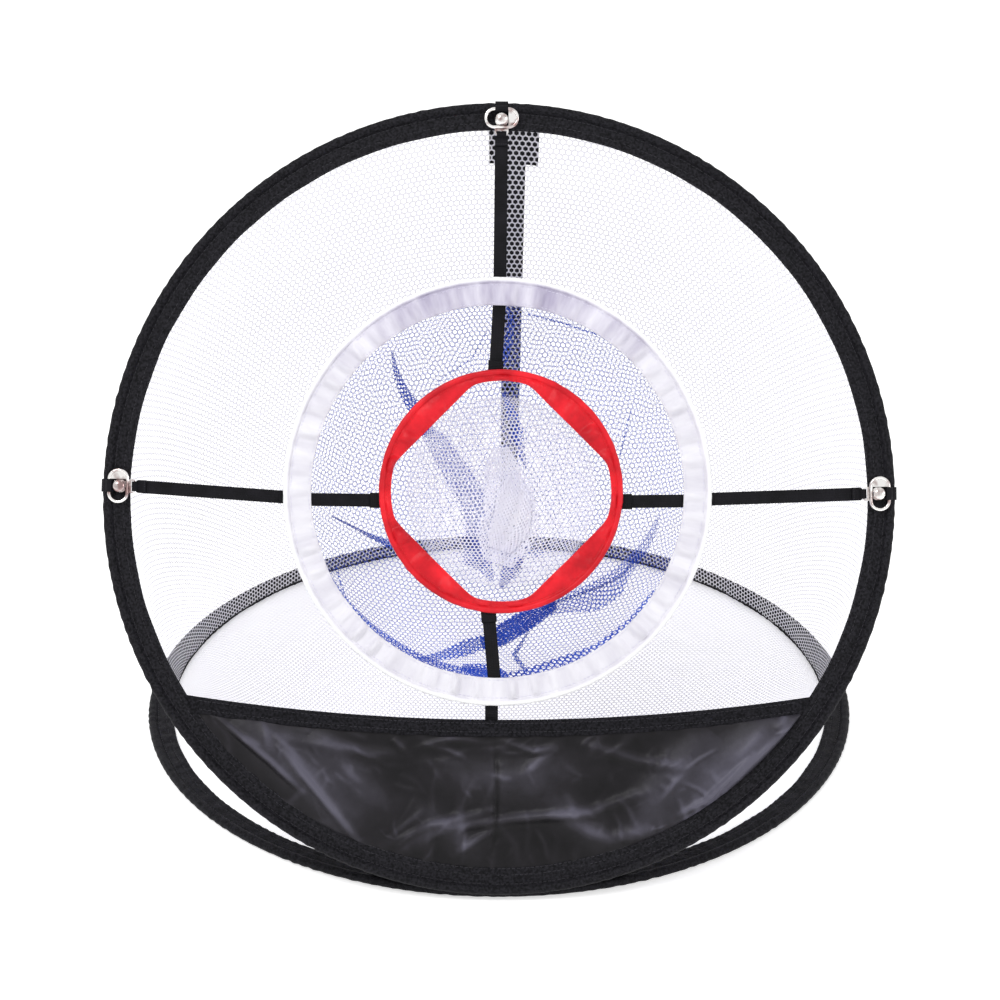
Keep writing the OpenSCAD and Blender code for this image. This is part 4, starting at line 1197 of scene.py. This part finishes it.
# %% Bag surfaces
class Bag:
    """A cup behind a ring. Radius mouth * sqrt(1 - (0.94 s)^2) at depth * s, sagging by sag * s^1.5, with the toe
    rounded off. place(d, angle) is the point a distance d from the rim along the cup."""

    def __init__(self, plane, mouth, behind, depth, sag, ripple, seed):
        self.plane, self.depth, self.sag, self.behind, self.ripple = plane, depth, sag, behind, ripple
        s = np.linspace(0, 1, 160)
        r = np.concatenate([mouth * np.sqrt(1 - (0.94 * s) ** 2), np.linspace(0.33 * mouth, 0, 60)])
        w = np.concatenate([-depth * s, np.full(60, -depth)])
        gone = np.concatenate([[0], np.cumsum(np.hypot(np.diff(r), np.diff(w)))])
        at = np.linspace(0, gone[-1], 240)
        r, w = np.interp(at, gone, r), np.interp(at, gone, w)
        for _ in range(60):
            r[1:-1] = (r[:-2] + 2 * r[1:-1] + r[2:]) / 4
            w[1:-1] = (w[:-2] + 2 * w[1:-1] + w[2:]) / 4
            w[-1] = w[-2]
        self.reach, self.at, self.r, self.w = gone[-1], at, r, w
        rng = np.random.default_rng(seed)
        self.count = np.round(rng.uniform(14, 46, 7))
        self.phase = rng.uniform(0, 2 * np.pi, 7)

    def place(self, d, angle):
        """The cup's point a distance d from its rim, rippled in and out near the rim and then dropped by its sag."""
        r, w = np.interp(d, self.at, self.r), np.interp(d, self.at, self.w)
        waves = np.cos(np.asarray(angle)[..., None] * self.count + self.phase).sum(-1) / 2.6
        fade = np.sin(np.pi * np.clip(d / self.reach, 0, 1)) ** 0.7 * np.exp(-d / (0.35 * self.reach)) * 2
        r = r + self.ripple * waves * fade * 0.6
        w = w + self.ripple * waves * fade * 0.8
        drop = self.sag * np.clip(-w / self.depth, 0, 1) ** 1.5
        return self.plane.place(r * np.cos(angle), r * np.sin(angle) - drop, self.behind + w)

    def locate(self, x, y):
        """The bag's point for a place on the round flat net, whose rows wander a little, and whether it is on it."""
        x, y = x - self.reach, y - self.reach
        x, y = x + 5 * MM * np.sin(y / (41 * MM) + 1.1), y + 5 * MM * np.sin(x / (36 * MM) + 0.4)
        rho = np.hypot(x, y)
        return self.place(np.clip(self.reach - rho, 0, self.reach), np.arctan2(y, x)), rho <= self.reach

    def depth_at(self, x, u):
        """w of the smooth cup at a place in its ring's plane, found by halving."""
        low, high = np.zeros(np.shape(x)), np.full(np.shape(x), self.reach)
        for _ in range(30):
            d = (low + high) / 2
            w = np.interp(d, self.at, self.w)
            wide = np.hypot(x, u + self.sag * np.clip(-w / self.depth, 0, 1) ** 1.5) > np.interp(d, self.at, self.r)
            high, low = np.where(wide, d, high), np.where(wide, low, d)
        return self.behind + np.interp(low, self.at, self.w)


print("each bag's flat net is as wide as twice the way from its rim to its toe")

# %% The two bags
BLUE_NET, BAG_NET, FOLD_NET, TOE_NET, KNOT_NET = [
    (pitch * MM, hole * MM) for pitch, hole in ((3.7, 1.66), (2.9, 1.2), (3.3, 1.5), (2.9, 1.1), (2.4, 0.75))]


def net_piece(name, locate, width, height, gauge, material):
    """A flat cloth of a gauge, which is its (pitch, hole), carried to its place by locate."""
    points, faces, _ = half_of(*hole_net(locate, width, height, *gauge), lambda p: np.ones(len(p), bool))
    return add_piece(name, points, faces, material)


def round_cut(bag, pitch, hole):
    """The size and the yarn area of a bag's round cut: the disc's area less its hexagonal holes."""
    return (2 * bag.reach, 2 * bag.reach), float(np.pi * bag.reach ** 2 * (1 - 3 * (hole / pitch) ** 2))


blue_bag = Bag(WHITE, WHITE_EDGE + 4 * MM, -2.2 * MM, 74 * MM, 26 * MM, 1.5 * MM, 5)
red_bag = Bag(RED, RED_R + RING_BEAD - RED_WIDE - 0.3 * MM, -0.9 * MM, 46 * MM, 14 * MM, 0.9 * MM, 8)
blue_knit = net_piece("blue_bag_knit", blue_bag.locate, 2 * blue_bag.reach, 2 * blue_bag.reach, BLUE_NET, NET_BLUE)
red_knit = net_piece("red_bag_knit", red_bag.locate, 2 * red_bag.reach, 2 * red_bag.reach, BAG_NET, NET_BAG)
for bag, piece in ((blue_bag, blue_knit), (red_bag, red_knit)):
    print(piece.name, len(piece.data.polygons), "faces, reach", round(bag.reach, 4))

# %% [markdown]
# The blue net shows its real colour only where it lies in several layers: along its hem, and where the loose cloth
# has fallen into folds low in the bag. Each fold is a narrow band of the same net, gathered, lying on the bag. The
# folds are drawn as lines on squared paper held up before the mouth, and each point is sent back along the line of
# sight until it meets the bag.

# %% From a drawing to the bag
SQUARE, MIDDLE = 0.6566, 499  # a square of the paper in mm, and the number of the square before the mouth's centre
EYE_DISTANCE, FLATTEN = 1.715, 0.972  # the eye's distance in m, and what takes the drawing's heights back to true


def on_bag(px, py, bag):
    """The place (x, u) in a ring's plane where the line of sight through a point of the drawing meets the bag behind
    the ring. It is found in four rounds, each scaling by (distance - depth) / distance at the last place."""
    off = WHITE_OFF if bag.plane is WHITE else RED_OFF
    x, u = (px - MIDDLE) * SQUARE * MM, (MIDDLE - py) * SQUARE * MM
    fx, fu = x - off, u - RING_UP
    for _ in range(4):
        grow = (EYE_DISTANCE - 4 * MM - bag.depth_at(fx, fu)) / EYE_DISTANCE
        fx, fu = x * grow - off, (u * grow - RING_UP) * FLATTEN
    return fx, fu


print("the drawing's middle meets the blue bag at", np.round(on_bag(499.0, 499.0, blue_bag), 3))

# %% A band of gathered net
BAG_ROOM = 0.118  # past this radius the ring's sleeve is near, and a band has to lie close to the net


def drawn_line(line, bag):
    """The band's middle line on the bag from its points (px, py, width), as arrays: the distance gone, the place
    (fx, fu), the direction across, and the width in metres."""
    line = np.array(line, float)
    t = np.concatenate([[0], np.cumsum(np.hypot(*np.diff(line[:, :2], axis=0).T))])
    fine = np.linspace(0, t[-1], 80)
    wide = np.interp(fine, t, line[:, 2]) * SQUARE * MM
    fx, fu = on_bag(np.interp(fine, t, line[:, 0]), np.interp(fine, t, line[:, 1]), bag)
    for _ in range(6):
        fx[1:-1], fu[1:-1] = (fx[:-2] + fx[2:] + 2 * fx[1:-1]) / 4, (fu[:-2] + fu[2:] + 2 * fu[1:-1]) / 4
    gone = np.concatenate([[0], np.cumsum(np.hypot(np.diff(fx), np.diff(fu)))])
    side = np.stack([-np.gradient(fu), np.gradient(fx)], 1)
    return gone, fx, fu, side / np.linalg.norm(side, axis=1, keepdims=True), wide


def fold_band(name, bag, line, layers, gauge, material, gathered, seed, lift=0.9):
    """Layers of net along a drawn line, each 0.7 mm above the last. The cloth is gathered times as wide as the
    band, so it is squeezed across, and it leans and ripples by its own random amounts."""
    gone, fx, fu, side, wide = drawn_line(line, bag)
    flat = wide.max() * gathered
    made = []
    for layer in range(layers):
        rng = np.random.default_rng(seed + layer)
        phase, lean, jitter = rng.uniform(0, 6.3, 2), rng.normal(0, 0.35), rng.uniform(-0.5, 0.5)

        def locate(x, y):
            y2 = y + lean * x
            share = x / flat - 0.5 + 0.06 * np.sin(y2 / (9 * MM) + phase[0]) + 0.05 * jitter
            w = np.interp(y2, gone, wide)
            px = np.interp(y2, gone, fx) + np.interp(y2, gone, side[:, 0]) * share * w
            pu = np.interp(y2, gone, fu) + np.interp(y2, gone, side[:, 1]) * share * w
            up = (lift + 0.7 * layer + 0.6 * np.sin(share * 14 + phase[1] + y2 / (12 * MM))) * MM
            up = np.minimum(up, (0.2 + np.clip((BAG_ROOM - np.hypot(px, pu)) / (4 * MM), 0, 2) * 2) * MM)
            ok = (x >= 0) & (x <= flat) & (y2 >= 0) & (y2 <= gone[-1]) & (np.abs(share) <= 0.56)
            return bag.plane.place(px, pu, bag.depth_at(px, pu) + up), ok

        made.append(net_piece(f"{name}_{layer}", locate, flat, gone[-1] * 1.2 + abs(lean) * flat, gauge, material))
    return made


print("one square of the drawing is", SQUARE, "mm")

# %% Folds in the blue net
# Each fold is (its name, its line as (across, down, width) in squares, its layers, how much it is gathered).
blue_folds = [
    ("streak", [(392, 346, 1.5), (396, 368, 6), (404, 391, 11), (418, 414, 15), (430, 434, 12)], 2, 1.25),
    ("line_top", [(527, 309, 1.5), (562, 318, 2), (608, 334, 1.2)], 2, 2.2),
    ("line_strap", [(507, 300, 3), (511, 316, 7), (508, 340, 8), (503, 362, 6)], 1, 1.2),
    ("strap_fold", [(503, 390, 3), (511, 410, 11), (518, 434, 13), (525, 468, 3)], 2, 1.2),
    ("under_toe_left", [(474, 540, 4), (478, 556, 16), (486, 572, 14), (492, 584, 5)], 2, 1.25),
    ("under_toe", [(500, 590, 4), (508, 577, 17), (516, 564, 16), (523, 556, 5)], 3, 1.3),
    ("beside_toe", [(521, 548, 6), (532, 553, 12), (544, 556, 8)], 1, 1.2),
    ("line_left", [(437, 379, 1), (473, 354, 1.8), (489, 324, 1.2)], 1, 2.2),
    ("line_right", [(631, 408, 1.2), (625, 432, 2.2), (619, 457, 1.6)], 2, 2.2),
    ("wedge_left", [(332, 517, 1.5), (350, 526, 2.5), (370, 537, 4), (394, 548, 9)], 3, 2.0),
    ("side_left", [(336, 568, 1.5), (340, 585, 2), (346, 603, 1.5)], 2, 2.0),
    ("sweep_right", [(662, 512, 2), (652, 533, 7), (640, 554, 11), (624, 574, 15), (612, 588, 26), (590, 599, 28),
                     (566, 607, 19), (545, 614, 14)], 1, 1.3),
    ("sweep_edge", [(640, 556, 3), (622, 577, 3), (600, 589, 3), (562, 603, 3), (540, 611, 5)], 3, 2.4),
    ("bunch", [(556, 608, 7), (540, 615, 16), (520, 627, 21), (500, 640, 20), (482, 648, 13)], 5, 2.0),
    ("bunch_left", [(488, 646, 14), (466, 652, 16), (440, 660, 9), (418, 664, 2)], 2, 1.4),
    ("bunch_low", [(462, 672, 5), (480, 676, 12), (496, 679, 13), (507, 681, 5)], 3, 2.0),
    ("spur", [(529, 634, 2), (514, 660, 5), (527, 678, 4)], 2, 1.8),
    ("hem_left", [(322, 569, 3), (344, 606, 6), (370, 632, 7), (398, 652, 7), (424, 667, 8), (459, 678, 9),
                  (504, 683, 8)], 2, 1.5),
    ("hem_right", [(504, 683, 7), (528, 678, 7), (562, 667, 8), (599, 652, 7), (631, 627, 6), (655, 594, 4)], 2, 1.2)]
inner_streak = [(424, 422, 12), (436, 440, 22), (454, 470, 26), (472, 498, 30), (482, 520, 32), (480, 545, 32),
                (472, 570, 20)]
fold_pieces = []
for k, (name, line, layers, gathered) in enumerate(blue_folds):
    fold_pieces += fold_band(f"blue_fold_{name}", blue_bag, line, layers, FOLD_NET, NET_BLUE_DEEP, gathered, 10 * k)
fold_pieces += fold_band("blue_fold_streak_inner", blue_bag, inner_streak, 3, FOLD_NET, NET_BLUE, 1.2, 410)
print("blue folds", len(fold_pieces), "with", sum(len(p.data.polygons) for p in fold_pieces), "faces")

# %% The toe of the white bag
toe_line = [(500, 446, 16), (502, 466, 34), (506, 490, 48), (508, 520, 56), (504, 545, 54), (498, 566, 30)]
knot_line = [(514, 474, 12), (514, 496, 34), (508, 528, 40), (500, 552, 24)]
toe_pieces = fold_band("red_bag_toe", red_bag, toe_line, 2, TOE_NET, NET_BAG, 1.2, 300)
toe_pieces += fold_band("red_bag_knot", red_bag, knot_line, 2, KNOT_NET, NET_BAG, 1.2, 320, lift=2.2)
print("toe and knot", sum(len(p.data.polygons) for p in toe_pieces), "faces")

# %% [markdown]
# ## The nets and bags on their bodies
# When the net is packed flat, the two hoops close on each other. Each half of a net rides its own hoop, each bag
# rides its ring, and every piece gets a mesh of its own.

# %% Hang the bags and their folds on their rings
for bag, piece, more, sewn_to, gauge, body, finish in (
        (blue_bag, blue_knit, fold_pieces, "white_ring_cover", BLUE_NET, "target", "blue_mesh"),
        (red_bag, red_knit, toe_pieces, "red_ring_cover", BAG_NET, "bullseye", "bag_mesh")):
    for part in [piece] + more:
        dress(part, body, finish)
        tuple(bag.plane.place(0, 0, bag.behind))
        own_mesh(part)
    cut, area = round_cut(bag, *gauge)
    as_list(more)
    print(piece.name, "cut", cut, "yarn", round(area, 4), "measured", round(cloth_area(piece), 4),
          "folds", round(sum(map(cloth_area, more)), 4))
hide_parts("blue_net")
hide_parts("red_ring_net")

# %% Give the nets and the strap down the back meshes of their own
halves = ([(half, net) for (_, half), net in net_pieces.items()] + hems
          + [("upper", rear_upper), ("lower", rear_lower)])
for half, piece in halves:
    anchor, axis = (FRONT.place(0, 0, -NET_W), OUT) if half == "upper" else (BASE.place(0, 0, NET_W), BASE.w)
    tuple(axis)
    tuple(anchor)
    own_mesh(piece)
for piece in net_pieces.values():
    print(piece.name, "cloth area", round(cloth_area(piece), 4))

# %% [markdown]
# ## The seam between the hoops
# A short strip joins the two sleeves at the front, and the net folds on it. It is ruled from one hoop to the other
# and sags a little. It belongs to both bodies, but only its place is baked into its mesh.

# %% Hinge strip
STRIP_R, STRIP_W, STRIP_ROWS = HOOP_R - BEAD - 3 * MM, 1.15 * MM, 90
a = np.radians(np.linspace(-20, 20, STRIP_ROWS)) - np.pi / 2
on_front, on_base = FRONT.ring(a, STRIP_R, -STRIP_W), BASE.ring(a, STRIP_R, STRIP_W)
share = np.linspace(0, 1, 12)[:, None, None]
sag = np.sin(np.pi * share) * np.array([0, 0.0012, -0.0006])
hinge = thin_solid("hinge_strip", (1 - share) * on_front + share * on_base + sag, 0.5 * MM, SLEEVE, (0.008, 0.17))
half_way = STRIP_ROWS // 2
dress_between(hinge, on_base[half_way], on_front[half_way], "hinge_gusset")
print("hinge strip", len(hinge.data.polygons), "faces")

# %% [markdown]
# ## The studio
# The net stands on a white floor in a white room, and is seen square on to the leaning hoop. The floor keeps a faint
# shadow: it gives off light of its own, but only to the eye and to mirrors, so it doesn't light the cloth from below.
# The room is plain white to the eye and to mirrors, and a little darker to the cloth, which keeps its shading.

# %% Floor and room
scene = bpy.context.scene
scene.view_settings.view_transform = "Standard"
AMBIENT, FLOOR_GLOW, FLOOR_HALF = 0.69, 0.5, 5
floor_shader = Shader("white_floor", 0.9, Base_Color=(0.96, 0.96, 0.96, 1.0), Specular_IOR_Level=0.0)
ray = floor_shader.node("ShaderNodeLightPath").outputs
floor_shader.principled.inputs["Emission Color"].default_value = (1, 1, 1, 1)
mirrored = floor_shader.maths("ADD", ray["Is Glossy Ray"], ray["Is Transmission Ray"])
straight = floor_shader.maths("ADD", ray["Is Camera Ray"], mirrored)
floor_shader.link("Emission Strength", floor_shader.maths("MULTIPLY", straight, FLOOR_GLOW))
floor_corners = np.array([[-1, -1, -0.0001], [1, -1, -0.0001], [1, 1, -0.0001], [-1, 1, -0.0001]]) * FLOOR_HALF
floor = add_piece("studio_floor", floor_corners, np.array([[0, 1, 2, 3]]), floor_shader.material)
world = bpy.data.worlds.new("studio_white")
world.use_nodes = True
sky = world.node_tree
sky.nodes["Background"].inputs[0].default_value = (1, 1, 1, 1)
sky_ray = sky.nodes.new("ShaderNodeLightPath").outputs
seen_ray = sky_ray["Is Camera Ray"]
for kind in ("Is Glossy Ray", "Is Transmission Ray"):
    either = sky.nodes.new("ShaderNodeMath")
    either.operation = "MAXIMUM"
    sky.links.new(seen_ray, either.inputs[0])
    sky.links.new(sky_ray[kind], either.inputs[1])
    seen_ray = either.outputs[0]
strength = sky.nodes.new("ShaderNodeMapRange")
sky.links.new(seen_ray, strength.inputs["Value"])
strength.inputs["To Min"].default_value, strength.inputs["To Max"].default_value = AMBIENT, 1.0
sky.links.new(strength.outputs[0], sky.nodes["Background"].inputs[1])
scene.world = world
print("room at", AMBIENT, "and floor at", FLOOR_GLOW)

# %% [markdown]
# A broad soft lamp from above the player, on the left, lights the cloth. A smaller one low on the right opens the
# shadows and gives the panel its highlights. The camera looks along the mouth's own axis with a long lens.

# %% Lamps and camera
def lamp(name, place, size, power):
    """A round area lamp that looks at the mouth's middle."""
    light = bpy.data.lights.new(name, "AREA")
    light.shape, light.size, light.energy = "DISK", size, power
    holder = bpy.data.objects.new(name, light)
    holder.location = place
    scene.collection.objects.link(holder)
    holder.rotation_euler = (Vector(tuple(FRONT.centre)) - holder.location).to_track_quat("-Z", "Y").to_euler()


lamp("key", (-1.0, -1.3, 2.3), 1.0, 27)
lamp("fill", (1.8, -1.2, 1.0), 0.9, 8)
eye = bpy.data.cameras.new("camera")
LENS_MM, SENSOR_MM, SHIFT = 94.03, 36, 0.001
eye.lens, eye.sensor_width = LENS_MM, SENSOR_MM
eye.shift_x, eye.shift_y = SHIFT, -SHIFT
camera = bpy.data.objects.new("camera", eye)
spot = FRONT.centre + OUT * EYE_DISTANCE
camera.matrix_world = Matrix([[FRONT.x[k], UP[k], OUT[k], spot[k]] for k in range(3)] + [[0, 0, 0, 1]])
scene.collection.objects.link(camera)
scene.camera = camera
print("camera", round(eye.lens, 2), "mm, at", spot.round(3))
